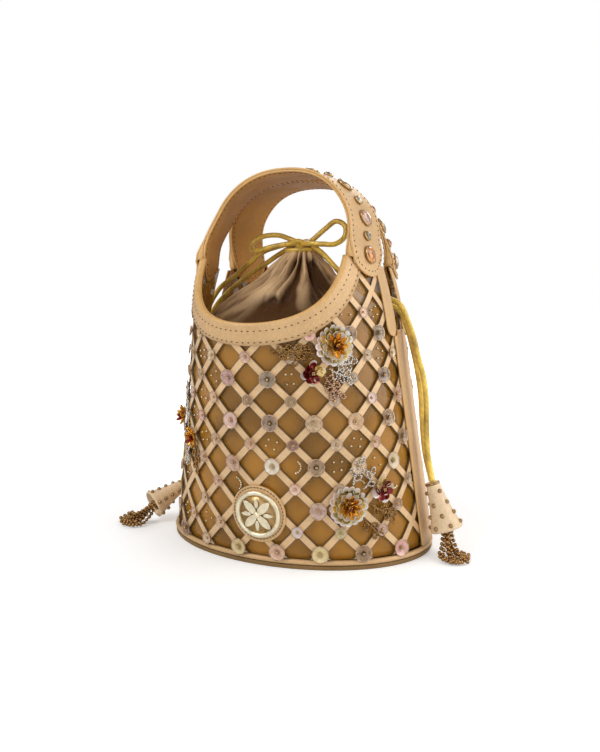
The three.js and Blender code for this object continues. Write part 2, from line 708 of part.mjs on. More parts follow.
// Sequin flowers: low domes that hold the place of the petals
const flowers = [
  ['flower_upper_big', 55.7, 143, 13.2, 6.4, [0xf4ead8, 0.25, 0.2]],
  ['flower_upper_small', 40.5, 126, 7.6, 5, [0x6a1508, 0.3, 0.2]],
  ['flower_lower_big', 58.9, 41.1, 12.8, 6.4, [0xf4ead8, 0.25, 0.2]],
  ['flower_lower_small', 82.4, 49.6, 7.4, 5, [0x6a1508, 0.3, 0.2]],
  ['flower_left_upper', -84, 88, 7, 5, [0xf0dcc0, 0.3, 0.2]],
  ['flower_left_lower', -57, 77.6, 6.6, 5, [0xd9921c, 0.3, 0.2]],
];
for (const [name, s, z, r, h, look] of flowers) {
  const dome = new THREE.LatheGeometry([
    [0, 0], [r * 0.35, 0], [r, h * 0.45], [r * 0.95, h * 0.7], [r * 0.45, h], [0, h],
  ].map(([x, y]) => new THREE.Vector2(x, y)), 12);
  dome.rotateX(Math.PI / 2);
  const mesh = add(name, solid(dome), look);
  const [p, turn] = onWall(s, z, LATTICE_IN + LATTICE_T + GAP + 0.1);
  mesh.position.copy(p);
  mesh.quaternion.copy(turn);
}

export default root;
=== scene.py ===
"""Potli bag: lattice bucket bag with two ring handles, a satin pouch and a gold drawstring."""

import bisect
import math
import random

import bmesh
import bpy
from mathutils import Matrix, Vector, noise


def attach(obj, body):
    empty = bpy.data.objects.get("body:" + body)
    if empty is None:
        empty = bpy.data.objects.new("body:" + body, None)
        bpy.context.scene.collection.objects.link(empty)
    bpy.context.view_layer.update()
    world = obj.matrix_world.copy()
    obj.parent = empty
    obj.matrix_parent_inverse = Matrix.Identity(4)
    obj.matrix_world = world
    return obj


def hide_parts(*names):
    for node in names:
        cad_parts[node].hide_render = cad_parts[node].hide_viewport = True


bl_info = {
    "name": "Potli Bag",
    "version": (1, 0, 0),
    "blender": (4, 5, 0),
    "location": "View3D > Sidebar > Potli",
    "description": "Builds a lattice potli bag with ring handles around its packed frame",
    "category": "Add Mesh",
}

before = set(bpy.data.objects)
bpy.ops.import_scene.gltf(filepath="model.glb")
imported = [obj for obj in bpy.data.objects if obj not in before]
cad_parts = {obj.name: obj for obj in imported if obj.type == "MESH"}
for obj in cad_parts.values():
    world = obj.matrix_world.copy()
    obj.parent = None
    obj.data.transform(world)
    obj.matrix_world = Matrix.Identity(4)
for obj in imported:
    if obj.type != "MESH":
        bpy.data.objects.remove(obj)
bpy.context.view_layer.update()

# Wall of the bag, in metres: ellipse half sizes at the floor and their change with height, the height where
# the ends start to pull in, how far they do at the horns' height, and the steps of a quarter's length table
HALF_W, HALF_D = 0.095, 0.0676
W_SLOPE, D_SLOPE = -0.1327, 0.1534
PULL_Z, PULL_X, HORN_Z = 0.150, 0.004, 0.196
ARC_STEPS = 240

# Layers, as offsets outwards from the wall
FILM = (-0.0007, -0.0002)
LATTICE = (0.00035, 0.00145)
TRIM = (0.0018, 0.0030)
LINING = (-0.0029, -0.0012)

# Edges of the panels: foot of the film and of the lattice, low point of the rim and its curve, inner edge of
# a horn, and the V between two horns with its seam gap, flare, taper and the height over which it flares
WALL_Z, LATTICE_FOOT, RIM_Z = 0.0063, 0.0066, 0.1552
RIM_QUAD, RIM_QUART, RIM_SPAN = 0.01106, 0.00394, 0.05
HORN_S = 0.072
V_BOTTOM, V_HALF = 0.150, 0.010
SEAM_GAP, V_FLARE, V_TAPER, V_OPEN = 0.0012, 0.0068, 0.002, 0.010

# Rim band: width, and half the length of the binding and of its stitching
RIM_BAND, RIM_END, RIM_STITCH_END = 0.0125, 0.0754, 0.074

# Side bands and tongues
BAND = (TRIM[0], TRIM[1] + 0.0001)
SIDE_BAND_HALF, SIDE_BAND_TOP = 0.015, 0.1455
TONGUE_HALF, TONGUE_LOW, TONGUE_RISE = 0.00725, 0.1467, 0.0488

# Base: how far the sole and the welt stand out past the wall's foot, and their heights
SOLE_OUT, SOLE_H = 0.0022, 0.0026
WELT_OUT, WELT_Z, WELT_R = 0.0012, 0.00445, 0.0016

# Lattice crossings: s is measured from the front middle, z from the floor
PITCH_S, PITCH_Z = 0.0275, 0.0279
CROSS_S, CROSS_Z = -0.00135, 0.0102

# Medallion: place on the front wall, radius of its patch and of its stitching
MEDAL_S, MEDAL_Z, PATCH_R, PATCH_STITCH_R = 0.001, 0.0347, 0.0185, 0.0168

# Handles: strap half width, thickness and gap over the tongue, place of the tabs on the wall, share of the
# strap that lies on each tab, and the hoop's foot, rise, half widths, roundness, depth, lean and gap
STRAP_HALF, STRAP_T, STRAP_GAP = 0.021, 0.0016, 0.0004
STRAP_S, TAB_Z, FOOT_Z, TAB_END = 0.0955, 0.1865, 0.197, 0.09
HOOP_Z, HOOP_RISE, HOOP_FRONT, HOOP_BACK = 0.200, 0.0643, 0.0557, 0.0652
HOOP_POWER, HOOP_DEPTH, HOOP_SKEW, HOOP_TOUCH = 2.3, 0.041, 0.0035, 0.0004

# Edge fillers at the handle feet: lower ends at the front and back edge of a strap, top, and inset
FILLER_LOW, FILLER_TOP, FILLER_INSET = {-1: 0.2006, 1: 0.1966}, FOOT_Z + 0.0192, 0.00003

HALF_TURN = Matrix.Rotation(math.pi, 4, "Z")
TRIM_LOOK = ("pearl_leather", "edge_paint", "strap_lining")
TABLES = {}


# Wall of the bag


def half_sizes(z):
    """Half width and half depth of the wall at height z."""
    over = max(0.0, z - PULL_Z) / (HORN_Z - PULL_Z)
    return HALF_W + W_SLOPE * z - PULL_X * over * over, HALF_D + D_SLOPE * z


def arc_table(z):
    """Lengths along a quarter of the wall's outline at height z, from the front middle."""
    key = round(z * 20000)
    if key not in TABLES:
        a, b = half_sizes(z)
        step = math.pi / 2 / ARC_STEPS
        table = [0.0]
        for i in range(ARC_STEPS):
            t = (i + 0.5) * step
            table.append(table[-1] + math.hypot(a * math.cos(t), b * math.sin(t)) * step)
        TABLES[key] = table
    return TABLES[key]


SIDE_S = arc_table(V_BOTTOM)[-1]


def span_at(lengths, want):
    """Span of a path that holds a length, as the number of its far end and the share that lies before."""
    i = min(max(bisect.bisect_left(lengths, want), 1), len(lengths) - 1)
    return i, (want - lengths[i - 1]) / max(1e-9, lengths[i] - lengths[i - 1])


def wall(s, z, off=0.0):
    """Point of the front wall at arc length s and height z, moved outwards by off."""
    a, b = half_sizes(z)
    table = arc_table(z)
    quarter = table[-1]
    size = abs(s) + (quarter - SIDE_S) * (abs(s) / SIDE_S) ** 4
    past = size > quarter
    folded = max(0.0, 2 * quarter - size if past else size)
    i, part = span_at(table, folded)
    t = (i - 1 + part) / ARC_STEPS * math.pi / 2
    t = math.copysign(math.pi - t if past else t, s)
    normal = Vector((math.sin(t) / a, -math.cos(t) / b, 0)).normalized()
    return Vector((a * math.sin(t), -b * math.cos(t), z)) + off * normal


def seat(s, z, off=0.0, turn=0.0):
    """Matrix that lays a shape on the wall, its Z outwards and its Y up."""
    across = (wall(s + 0.001, z, off) - wall(s - 0.001, z, off)).normalized()
    up = (wall(s, z + 0.001, off) - wall(s, z - 0.001, off)).normalized()
    out = across.cross(up).normalized()
    place = Matrix((across, out.cross(across), out)).transposed().to_4x4()
    place.translation = wall(s, z, off)
    return place @ Matrix.Rotation(turn, 4, "Z")


def rim_height(s):
    """Height of the scooped rim."""
    q = (s / RIM_SPAN) ** 2
    return RIM_Z + RIM_QUAD * q + RIM_QUART * q * q


def rim_normal(s):
    """Direction down from the rim, square to it, in (s, z)."""
    slope = 2 * RIM_QUAD * s / RIM_SPAN**2 + 4 * RIM_QUART * s**3 / RIM_SPAN**4
    size = math.hypot(slope, 1)
    return slope / size, -1 / size


def v_gap(z):
    """Half width of the gap between two panels, which opens upwards."""
    if z <= V_BOTTOM:
        return SEAM_GAP
    up = min(1.0, (z - V_BOTTOM) / V_OPEN)
    return SEAM_GAP + V_FLARE * math.sqrt(up) + V_TAPER * (z - V_BOTTOM) / (HORN_Z - V_BOTTOM)


def panel_top(s):
    """Height of a panel's top edge."""
    size = abs(s)
    if size < HORN_S:
        return rim_height(size)
    z = HORN_Z
    while z > V_BOTTOM and size > SIDE_S - v_gap(z):
        z -= 0.0005
    return z


# Shapes


def smooth(x, low, high):
    """Goes softly from 0 to 1 as x goes from low to high."""
    x = min(1.0, max(0.0, (x - low) / (high - low)))
    return x * x * (3 - 2 * x)


def loft(rings, zones=None, closed=False, scale=(1.0, 1.0)):
    """Closed skin through rings of points, with a UV map along it and a material for each zone."""
    n = len(rings[0])
    rows = len(rings)
    spans = rows if closed else rows - 1
    bm = bmesh.new()
    bmesh.ops.create_grid(bm, x_segments=n, y_segments=spans, size=1)
    uv = bm.loops.layers.uv.new("UVMap")
    for face in bm.faces:
        mid = face.calc_center_median()
        if zones:
            face.material_index = zones[min(n - 1, int((mid.x + 1) / 2 * n))]
        face.smooth = True
        for loop in face.loops:
            loop[uv].uv = (
                (loop.vert.co.x + 1) / 2 * scale[0],
                (loop.vert.co.y + 1) / 2 * scale[1],
            )
    for vert in bm.verts:
        i = round((vert.co.x + 1) / 2 * n) % n
        j = round((vert.co.y + 1) / 2 * spans) % rows
        vert.co = rings[j][i]
    bmesh.ops.remove_doubles(bm, verts=bm.verts, dist=2e-7)
    if not closed:
        open_edges = [e for e in bm.edges if e.is_boundary]
        bmesh.ops.holes_fill(bm, edges=open_edges, sides=0)
    bmesh.ops.recalc_face_normals(bm, faces=bm.faces)
    return bm


def strap_section(half, low, high, columns=8):
    """Section of a flat strap as (x, height) pairs with rounded edges, and the zone of each side."""
    r = min((high - low) / 2, 0.0006)
    side = [(half - 0.3 * r, high - 0.3 * r), (half, high - r)]
    side += [(half, low + r), (half - 0.3 * r, low + 0.3 * r)]
    xs = [-half + r + (2 * half - 2 * r) * i / columns for i in range(columns + 1)]
    points = [(x, high) for x in xs] + side
    points += [(x, low) for x in reversed(xs)] + [(-x, h) for x, h in reversed(side)]
    zones = [0] * columns + [1] * 5 + [2] * columns + [1] * 5
    return points, zones


def run_lengths(points):
    """Length along a path up to each of its points."""
    lengths = [0.0]
    for p, q in zip(points, points[1:]):
        lengths.append(lengths[-1] + (q - p).length)
    return lengths


def path_points(points, count):
    """Evenly spaced points on a smooth curve through the given points."""
    knots = [Vector(p) for p in points]
    knots = [2 * knots[0] - knots[1]] + knots + [2 * knots[-1] - knots[-2]]
    fine = []
    for i in range(1, len(knots) - 2):
        p0, p1, p2, p3 = knots[i - 1 : i + 3]
        t0, t1 = 0.0, (p1 - p0).length ** 0.5
        t2 = t1 + (p2 - p1).length ** 0.5
        t3 = t2 + (p3 - p2).length ** 0.5
        for k in range(24):
            t = t1 + (t2 - t1) * k / 24
            a1 = p0.lerp(p1, (t - t0) / (t1 - t0))
            a2 = p1.lerp(p2, (t - t1) / (t2 - t1))
            a3 = p2.lerp(p3, (t - t2) / (t3 - t2))
            b1 = a1.lerp(a2, (t - t0) / (t2 - t0))
            b2 = a2.lerp(a3, (t - t1) / (t3 - t1))
            fine.append(b1.lerp(b2, (t - t1) / (t2 - t1)))
    fine.append(knots[-2])
    lengths = run_lengths(fine)
    result = []
    for k in range(count):
        i, part = span_at(lengths, lengths[-1] * k / (count - 1))
        result.append(fine[i - 1].lerp(fine[i], part))
    return result


def tube_rings(points, radius, sides):
    """Rings of a round cord along points, without twist."""
    turns = [2 * math.pi * k / sides for k in range(sides)]
    rings = []
    normal = None
    for i, p in enumerate(points):
        along = (points[min(i + 1, len(points) - 1)] - points[max(i - 1, 0)]).normalized()
        if normal is None:
            normal = along.orthogonal().normalized()
        normal = (normal - normal.dot(along) * along).normalized()
        other = along.cross(normal)
        rings.append([p + radius * (math.cos(t) * normal + math.sin(t) * other) for t in turns])
    return rings


def lathe(profile, segments):
    """Closed solid turned round Z from (radius, height) pairs that end on the axis or close on themselves."""
    bm = bmesh.new()
    verts = [bm.verts.new((r, 0, h)) for r, h in profile]
    edges = [bm.edges.new(pair) for pair in zip(verts, verts[1:])]
    bmesh.ops.spin(
        bm, geom=verts + edges, cent=(0, 0, 0), axis=(0, 0, 1), angle=2 * math.pi,
        steps=segments, use_merge=True,
    )
    bmesh.ops.remove_doubles(bm, verts=bm.verts, dist=1e-7)
    bmesh.ops.recalc_face_normals(bm, faces=bm.faces)
    soften(bm)
    return bm


def thicken(bm, height):
    """Turns a flat disc into a plate."""
    top = bmesh.ops.extrude_face_region(bm, geom=bm.faces[:])
    raised = [g for g in top["geom"] if isinstance(g, bmesh.types.BMVert)]
    bmesh.ops.translate(bm, vec=(0, 0, height), verts=raised)
    bmesh.ops.recalc_face_normals(bm, faces=bm.faces)


def shape(bm):
    """A bmesh kept as a small mesh for stamping."""
    mesh = bpy.data.meshes.new("shape")
    bm.to_mesh(mesh)
    bm.free()
    return mesh


def bead_shape(subdivisions):
    """Ball with a radius of 1."""
    bm = bmesh.new()
    bmesh.ops.create_icosphere(bm, subdivisions=subdivisions, radius=1)
    soften(bm)
    return shape(bm)


class Tray:
    """Copies of small shapes gathered into one piece, each copy with its own tint."""

    def __init__(self):
        self.bm = bmesh.new()
        self.tints = []

    def add(self, mesh, place, tint=(1, 1, 1), finish=0):
        copy = mesh.copy()
        copy.transform(place)
        if finish:
            copy.polygons.foreach_set("material_index", [finish] * len(copy.polygons))
        self.bm.from_mesh(copy)
        bpy.data.meshes.remove(copy)
        self.tints.extend(list(tint) + [1.0] for _ in range(len(mesh.vertices)))


def piece(name, bm, finishes, replaces=(), tints=None):
    """Turns a bmesh into a piece of the bag that rides on its body."""
    mesh = bpy.data.meshes.new(name)
    bm.to_mesh(mesh)
    bm.free()
    if tints:
        layer = mesh.attributes.new("tint", "FLOAT_COLOR", "POINT")
        layer.data.foreach_set("color", [c for tint in tints for c in tint])
    for finish in finishes:
        mesh.materials.append(bpy.data.materials[finish])
    obj = bpy.data.objects.new(name, mesh)
    bpy.context.scene.collection.objects.link(obj)
    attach(obj, "root")
    if replaces:
        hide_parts(*replaces)
    return obj


def join(bm, part):
    """Adds the shape of another bmesh, which is used up."""
    mesh = shape(part)
    bm.from_mesh(mesh)
    bpy.data.meshes.remove(mesh)


def on_side(bm, side):
    """A shape made for the front, turned round where it belongs on the back of the bag."""
    if side == "back":
        bmesh.ops.transform(bm, matrix=HALF_TURN, verts=bm.verts)
    return bm


def place_on(place, side):
    """A place on the front, turned round where it belongs on the back of the bag."""
    return HALF_TURN @ place if side == "back" else place


def soften(bm):
    """Smooth shading on every face."""
    for face in bm.faces:
        face.smooth = True


# Finishes


def linear(value):
    """Linear value of one colour channel that runs from 0 to 255."""
    part = value / 255
    return part / 12.92 if part < 0.04 else ((part + 0.055) / 1.055) ** 2.4


def srgb(r, g, b):
    """Linear colour from display values."""
    return linear(r), linear(g), linear(b)


class Look:
    """A node material being put together."""

    def __init__(self, name, rough=0.5, metal=0.0, **sockets):
        self.material = bpy.data.materials.new(name)
        self.material.use_nodes = True
        self.tree = self.material.node_tree
        self.shader = self.tree.nodes["Principled BSDF"]
        self.shader.inputs["Roughness"].default_value = rough
        self.shader.inputs["Metallic"].default_value = metal
        for key, value in sockets.items():
            self.shader.inputs[key.replace("_", " ")].default_value = value

    def node(self, kind, inputs=None, **settings):
        """New node, each input joined to a socket or set to a value."""
        node = self.tree.nodes.new(kind)
        for key, value in settings.items():
            setattr(node, key, value)
        for key, value in (inputs or {}).items():
            if isinstance(value, bpy.types.NodeSocket):
                self.tree.links.new(value, node.inputs[key])
            else:
                node.inputs[key].default_value = value
        return node

    def coords(self, output="Object"):
        return self.node("ShaderNodeTexCoord").outputs[output]

    def noise(self, scale, detail, vector=None, rough=0.5):
        inputs = {"Vector": vector or self.coords(), "Scale": scale, "Detail": detail, "Roughness": rough}
        return self.node("ShaderNodeTexNoise", inputs).outputs["Fac"]

    def ramp(self, fac, low, high, dark, light):
        """Colours from dark to light as fac goes from low to high."""
        node = self.node("ShaderNodeValToRGB", {"Fac": fac})
        node.color_ramp.elements[0].position = low
        node.color_ramp.elements[1].position = high
        node.color_ramp.elements[0].color = (*dark, 1)
        node.color_ramp.elements[1].color = (*light, 1)
        return node.outputs["Color"]

    def mix(self, fac, a, b, blend="MIX"):
        """Colour a blended with b, each a socket or a colour."""
        node = self.node("ShaderNodeMix", data_type="RGBA", blend_type=blend)
        for socket, value in ((node.inputs[0], fac), (node.inputs[6], a), (node.inputs[7], b)):
            if isinstance(value, bpy.types.NodeSocket):
                self.tree.links.new(value, socket)
            elif isinstance(value, (int, float)):
                socket.default_value = value
            else:
                socket.default_value = (*value, 1)
        return node.outputs[2]

    def spread(self, fac, low, high):
        """Noise fac stretched from low to high."""
        inputs = {"Value": fac, "From Min": 0.3, "From Max": 0.7, "To Min": low, "To Max": high}
        return self.node("ShaderNodeMapRange", inputs).outputs["Result"]

    def bump(self, height, strength, distance, normal=None):
        inputs = {"Height": height, "Strength": strength, "Distance": distance}
        if normal is not None:
            inputs["Normal"] = normal
        return self.node("ShaderNodeBump", inputs).outputs["Normal"]

    def join(self, output, socket):
        """Leads an output into the shader."""
        self.tree.links.new(output, self.shader.inputs[socket])


def scaled(colour, factor):
    """Darker or lighter colour, at most white."""
    return tuple(min(1.0, c * factor) for c in colour)


def leather_look(name, colour, rough, grain, tone, **sockets):
    """Coated leather: fine pebbled grain, cloudy tone and slightly uneven gloss."""
    look = Look(name, rough, **sockets)
    at = look.coords()
    cloud = look.ramp(look.noise(34, 4, at), 0.3, 0.7, scaled(colour, 1 - tone), scaled(colour, 1 + tone))
    speck = look.ramp(look.noise(620, 3, at, 0.7), 0.3, 0.7, (0.8, 0.78, 0.76), (1.0, 1.0, 1.0))
    look.join(look.mix(0.9, cloud, speck, "MULTIPLY"), "Base Color")
    look.join(look.spread(look.noise(90, 3, at), rough - 0.07, rough + 0.09), "Roughness")
    cells = look.node("ShaderNodeTexVoronoi", {"Vector": at, "Scale": 900.0}, feature="SMOOTH_F1")
    soft = look.bump(look.noise(160, 3, at), 0.4, 0.0006)
    look.join(look.bump(cells.outputs["Distance"], grain, 0.00012, soft), "Normal")


def film_look(colour):
    """Clear tinted film with faint clouds and ripples."""
    film = Look("gold_film", 0.16, Alpha=0.7, Coat_Weight=0.15, Coat_Roughness=0.08, Specular_IOR_Level=0.35)
    at = film.coords()
    cloud = film.ramp(film.noise(24, 3, at), 0.34, 0.66, scaled(colour, 0.5), scaled(colour, 1.05))
    film.join(cloud, "Base Color")
    film.join(film.bump(film.noise(30, 2, at), 0.5, 0.003), "Normal")


def satin_look(colour):
    """Pouch satin with fine threads and creases, darkened toward near black by painted shade kept on its
    points for its folds, creases and lower front.
    """
    satin = Look("pouch_satin", 0.5, Sheen_Weight=0.25, Sheen_Roughness=0.35, Specular_IOR_Level=0.2)
    satin.shader.inputs["Sheen Tint"].default_value = (*scaled(colour, 1.5), 1)
    at = satin.coords()
    cloud = satin.ramp(satin.noise(30, 5, at), 0.25, 0.75, scaled(colour, 0.74), scaled(colour, 1.15))
    fold_shade = satin.node("ShaderNodeAttribute", attribute_name="fold_shade").outputs["Fac"]
    # Near-black colour that the painted shade of the folds darkens the satin to
    fold_shade_colour = tuple(c * k for c, k in zip(colour, (0.09, 0.05, 0.02)))
    satin.join(satin.mix(fold_shade, cloud, fold_shade_colour), "Base Color")
    threads = satin.node(
        "ShaderNodeTexWave", {"Vector": at, "Scale": 700.0, "Distortion": 2.5, "Detail": 2.0},
        wave_type="BANDS", bands_direction="DIAGONAL",
    )
    stretched = satin.node("ShaderNodeMapping", {"Vector": at, "Scale": (1.0, 1.0, 0.7)}).outputs["Vector"]
    creases = satin.bump(satin.noise(85, 5, stretched, 0.6), 0.8, 0.0025)
    satin.join(satin.bump(threads.outputs["Fac"], 0.12, 0.0002, creases), "Normal")


def cord_look(colour):
    """Twisted satin cord, with painted patches of highlight and shade along it."""
    cord = Look(
        "gold_cord", 0.3, 0.12, Sheen_Weight=0.3, Sheen_Roughness=0.3, Coat_Weight=0.2, Coat_Roughness=0.25,
    )
    weave = cord.node(
        "ShaderNodeTexWave", {"Vector": cord.coords("UV"), "Scale": 1.885, "Distortion": 0.0},
        wave_type="BANDS", bands_direction="DIAGONAL",
    ).outputs["Fac"]
    # Painted highlights and shade: noise patches from half the cord colour up to a quarter brighter
    patches = cord.ramp(cord.noise(85, 4), 0.32, 0.68, scaled(colour, 0.5), scaled(colour, 1.25))
    cord.join(cord.mix(0.12, patches, weave, "MULTIPLY"), "Base Color")
    cord.join(cord.bump(weave, 0.2, 0.0002, cord.bump(cord.noise(260, 3), 0.5, 0.0006)), "Normal")


def metal_look(name, colour, rough):
    """Plated metal with slightly uneven colour and gloss."""
    metal = Look(name, rough, 1.0)
    metal.join(metal.ramp(metal.noise(300, 3), 0.3, 0.7, scaled(colour, 0.78), colour), "Base Color")
    metal.join(metal.spread(metal.noise(500, 2), rough - 0.06, rough + 0.1), "Roughness")


def sequin_look(name, alpha, rough):
    """Tinted sequin that lets some light through, with painted glints over its tint and painted shade where
    it is seen edge-on.
    """
    sequin = Look(
        name, rough, 0.0, Alpha=alpha, Coat_Weight=0.8, Coat_Roughness=0.05, Specular_IOR_Level=0.8,
    )
    tint = sequin.node("ShaderNodeAttribute", attribute_name="tint").outputs["Color"]
    # Painted shade: the sequin turns brown where it is seen edge-on; noise paints glints and darker patches
    # over the tint
    edge = sequin.node("ShaderNodeLayerWeight", {"Blend": 0.35}).outputs["Facing"]
    shine = sequin.ramp(sequin.noise(380, 1), 0.38, 0.62, (0.66, 0.52, 0.46), (1.0, 1.0, 0.96))
    pearl = sequin.mix(0.4, tint, shine, "MULTIPLY")
    sequin.join(sequin.mix(edge, pearl, (0.5, 0.34, 0.2), "MULTIPLY"), "Base Color")
    sequin.join(sequin.bump(sequin.noise(700, 2), 0.2, 0.0002), "Normal")


def rim_look():
    """Darker rolled rim of a sequin, also used for its centre, with painted shade and glints for a clear
    sequin's outline.
    """
    rim = Look("sequin_rim", 0.22, 0.2, Alpha=0.85, Coat_Weight=0.8, Coat_Roughness=0.05)
    rim.join(rim.ramp(rim.noise(600, 2), 0.3, 0.7, (0.28, 0.16, 0.08), (0.7, 0.5, 0.34)), "Base Color")


def foil_look():
    """Tinted foil of the flower hearts."""
    foil = Look("foil_sequin", 0.2, 0.75, Coat_Weight=0.6, Coat_Roughness=0.08)
    tint = foil.node("ShaderNodeAttribute", attribute_name="tint").outputs["Color"]
    patches = foil.ramp(foil.noise(500, 2), 0.3, 0.7, (0.6, 0.6, 0.6), (1, 1, 1))
    foil.join(foil.mix(0.5, tint, patches, "MULTIPLY"), "Base Color")


def stone_look():
    """Tinted cut stone with darker and lighter cells inside, painted reflections of its facets."""
    stone = Look("cut_stone", 0.08, 0.0, Coat_Weight=1.0, Coat_Roughness=0.04, Specular_IOR_Level=0.7)
    tint = stone.node("ShaderNodeAttribute", attribute_name="tint").outputs["Color"]
    # Painted reflections and shade of the facets, as random cells from near black to the full tint
    facets = stone.node("ShaderNodeTexVoronoi", {"Scale": 420.0, "Vector": stone.coords()}).outputs["Color"]
    glow = stone.node("ShaderNodeSeparateColor", {"Color": facets}).outputs["Red"]
    depth = stone.ramp(glow, 0.0, 1.0, (0.12, 0.09, 0.08), (1.0, 1.0, 1.0))
    stone.join(stone.mix(0.95, tint, depth, "MULTIPLY"), "Base Color")


METALS = (
    ("pale_gold", (1.0, 0.9, 0.66), 0.36),
    ("bezel_gold", (0.56, 0.37, 0.17), 0.3),
    ("bronze_bead", (0.36, 0.2, 0.07), 0.2),
    ("silver_bead", (0.66, 0.6, 0.53), 0.2),
    ("rose_bead", (0.56, 0.36, 0.24), 0.22),
    ("stud_metal", (0.4, 0.27, 0.13), 0.32),
)


def make_finishes(colours):
    """Every finish of the bag."""
    leather, edge, lattice = colours.leather[:], colours.edge[:], colours.lattice[:]
    leather_look(
        "pearl_leather", leather, 0.44, 0.4, 0.1,
        Metallic=0.1, Coat_Weight=0.1, Coat_Roughness=0.35, Specular_IOR_Level=0.35,
    )
    leather_look("edge_paint", edge, 0.34, 0.08, 0.1, Coat_Weight=0.2, Coat_Roughness=0.3)
    leather_look("strap_lining", colours.lining[:], 0.55, 0.25, 0.14, Specular_IOR_Level=0.22)
    leather_look("lattice_leather", lattice, 0.4, 0.35, 0.1, Metallic=0.1)
    # Strip outlines and sides, a fifth of the strip colour: partly dark edge, partly painted shade of the
    # shadow lines beside the strips
    leather_look("lattice_edge_and_shade", scaled(lattice, 0.2), 0.6, 0.1, 0.1)
    # Sole at about a third of the edge colour, darkened as painted shade under the welt
    leather_look("shaded_sole_leather", scaled(edge, 0.34), 0.5, 0.3, 0.15, Specular_IOR_Level=0.3)
    leather_look("cone_leather", colours.cone[:], 0.5, 0.3, 0.1)
    leather_look("thread", colours.thread[:], 0.6, 0.3, 0.15)
    film_look(colours.film[:])
    satin_look(colours.pouch[:])
    cord_look(colours.cord[:])
    for name, colour, rough in METALS:
        metal_look(name, colour, rough)
    sequin_look("clear_sequin", 0.42, 0.12)
    sequin_look("pearl_sequin", 0.88, 0.2)
    rim_look()
    foil_look()
    stone_look()


# Handles


def foot(w):
    """Point of the wall where a handle leaves its panel."""
    return wall(STRAP_S + w * STRAP_HALF, FOOT_Z)


def hoop_rail(theta, half, start, top):
    """Point on one edge of a handle's hoop, which runs from depth start at its feet to depth top."""
    c = math.cos(theta)
    x = math.copysign(half * abs(c) ** (2 / HOOP_POWER), c)
    z = HOOP_Z + HOOP_RISE * abs(math.sin(theta)) ** (2 / HOOP_POWER)
    ease = smooth(z, HOOP_Z, HOOP_Z + 0.038)
    lean = HOOP_SKEW * ((z - HOOP_Z) / HOOP_RISE) ** 2
    return Vector((x + lean, start + (top - start) * ease, z))


def strap_middle(t, w):
    """Middle surface of the front handle: t from 0 at the right tab to 1 at the left, w across."""
    if t < TAB_END or t > 1 - TAB_END:
        low = min(t, 1 - t) / TAB_END
        p = wall(STRAP_S + w * STRAP_HALF, TAB_Z + (FOOT_Z - TAB_Z) * low)
        return p if t < 0.5 else Vector((-p.x, p.y, p.z))
    theta = (t - TAB_END) / (1 - 2 * TAB_END) * math.pi
    front = hoop_rail(theta, HOOP_FRONT, foot(-1).y, -HOOP_TOUCH - HOOP_DEPTH)
    back = hoop_rail(theta, HOOP_BACK, foot(1).y, -HOOP_TOUCH)
    return front.lerp(back, (w + 1) / 2)


def strap_out(t, w):
    """Unit vector out of the handle's stone side."""
    step = 0.006
    along = strap_middle(min(1, t + step), w) - strap_middle(max(0, t - step), w)
    across = strap_middle(t, 1) - strap_middle(t, -1)
    return across.cross(along).normalized()


def strap_split(t):
    """How far the two layers of the handle have come together, from 0 on the panel to 1."""
    return smooth(strap_middle(t, 0).z, FOOT_Z + 0.001, FOOT_Z + 0.020)


def strap_point(t, w, height, outer=True):
    """Point on a handle layer: w across from -1 to 1, height above the layer's inner face."""
    k = strap_split(t)
    base = (TRIM[1] + STRAP_GAP) * (1 - k) if outer else LINING[0] * (1 - k) - STRAP_T * k
    return strap_middle(t, w) + strap_out(t, w) * (base + height)


def tab_half(low, r):
    """Half width of a strap of half width r at a height above its round end."""
    return r if low >= STRAP_HALF else math.sqrt(max(0.0, r * r - (STRAP_HALF - low) ** 2))


def strap_rows():
    """Places along a handle, closer together at its round ends."""
    tab = [TAB_END * (1 - math.cos(math.pi / 2 * k / 10)) for k in range(11)]
    arch = [TAB_END + (1 - 2 * TAB_END) * k / 64 for k in range(1, 64)]
    return tab + arch + [1 - t for t in reversed(tab)]


def inset_path(inset):
    """Closed path of (t, w) pairs that runs round a handle at a distance from its edge."""
    side = []
    for k in range(601):
        t = k / 600
        low = strap_middle(t, 0).z - TAB_Z
        if low >= inset:
            side.append((t, tab_half(low, STRAP_HALF - inset) / STRAP_HALF))
    return side + [(t, -w) for t, w in reversed(side)] + side[:1]


def along_path(points, pitch):
    """Places on a path of (point, out) pairs every pitch, as (point, direction, out)."""
    lengths = run_lengths([p for p, _ in points])
    count = max(1, round(lengths[-1] / pitch))
    for k in range(count):
        i, part = span_at(lengths, lengths[-1] * (k + 0.5) / count)
        (p, a), (q, b) = points[i - 1], points[i]
        yield p.lerp(q, part), (q - p).normalized(), a.lerp(b, part).normalized()


def aimed(point, along, out):
    """Matrix with its X along a path and its Z outwards."""
    across = out.cross(along).normalized()
    place = Matrix((along, across, along.cross(across))).transposed().to_4x4()
    place.translation = point
    return place


def stitch_along(tray, stitch, path, pitch, side):
    """Row of stitches along a path of (point, out) pairs on the front or back of the bag."""
    for point, along, out in along_path(path, pitch):
        tray.add(stitch, place_on(aimed(point, along, out), side))


def stitch_shape(length, thick):
    """One stitch along X."""
    bm = bmesh.new()
    bmesh.ops.create_uvsphere(bm, u_segments=6, v_segments=4, radius=1)
    bmesh.ops.scale(bm, vec=(length / 2, thick / 2, thick * 0.4), verts=bm.verts)
    bmesh.ops.rotate(bm, cent=(0, 0, 0), matrix=Matrix.Rotation(math.pi / 2, 3, "X"), verts=bm.verts)
    bmesh.ops.scale(bm, vec=(1, 1, 0.9), verts=bm.verts)
    soften(bm)
    return shape(bm)


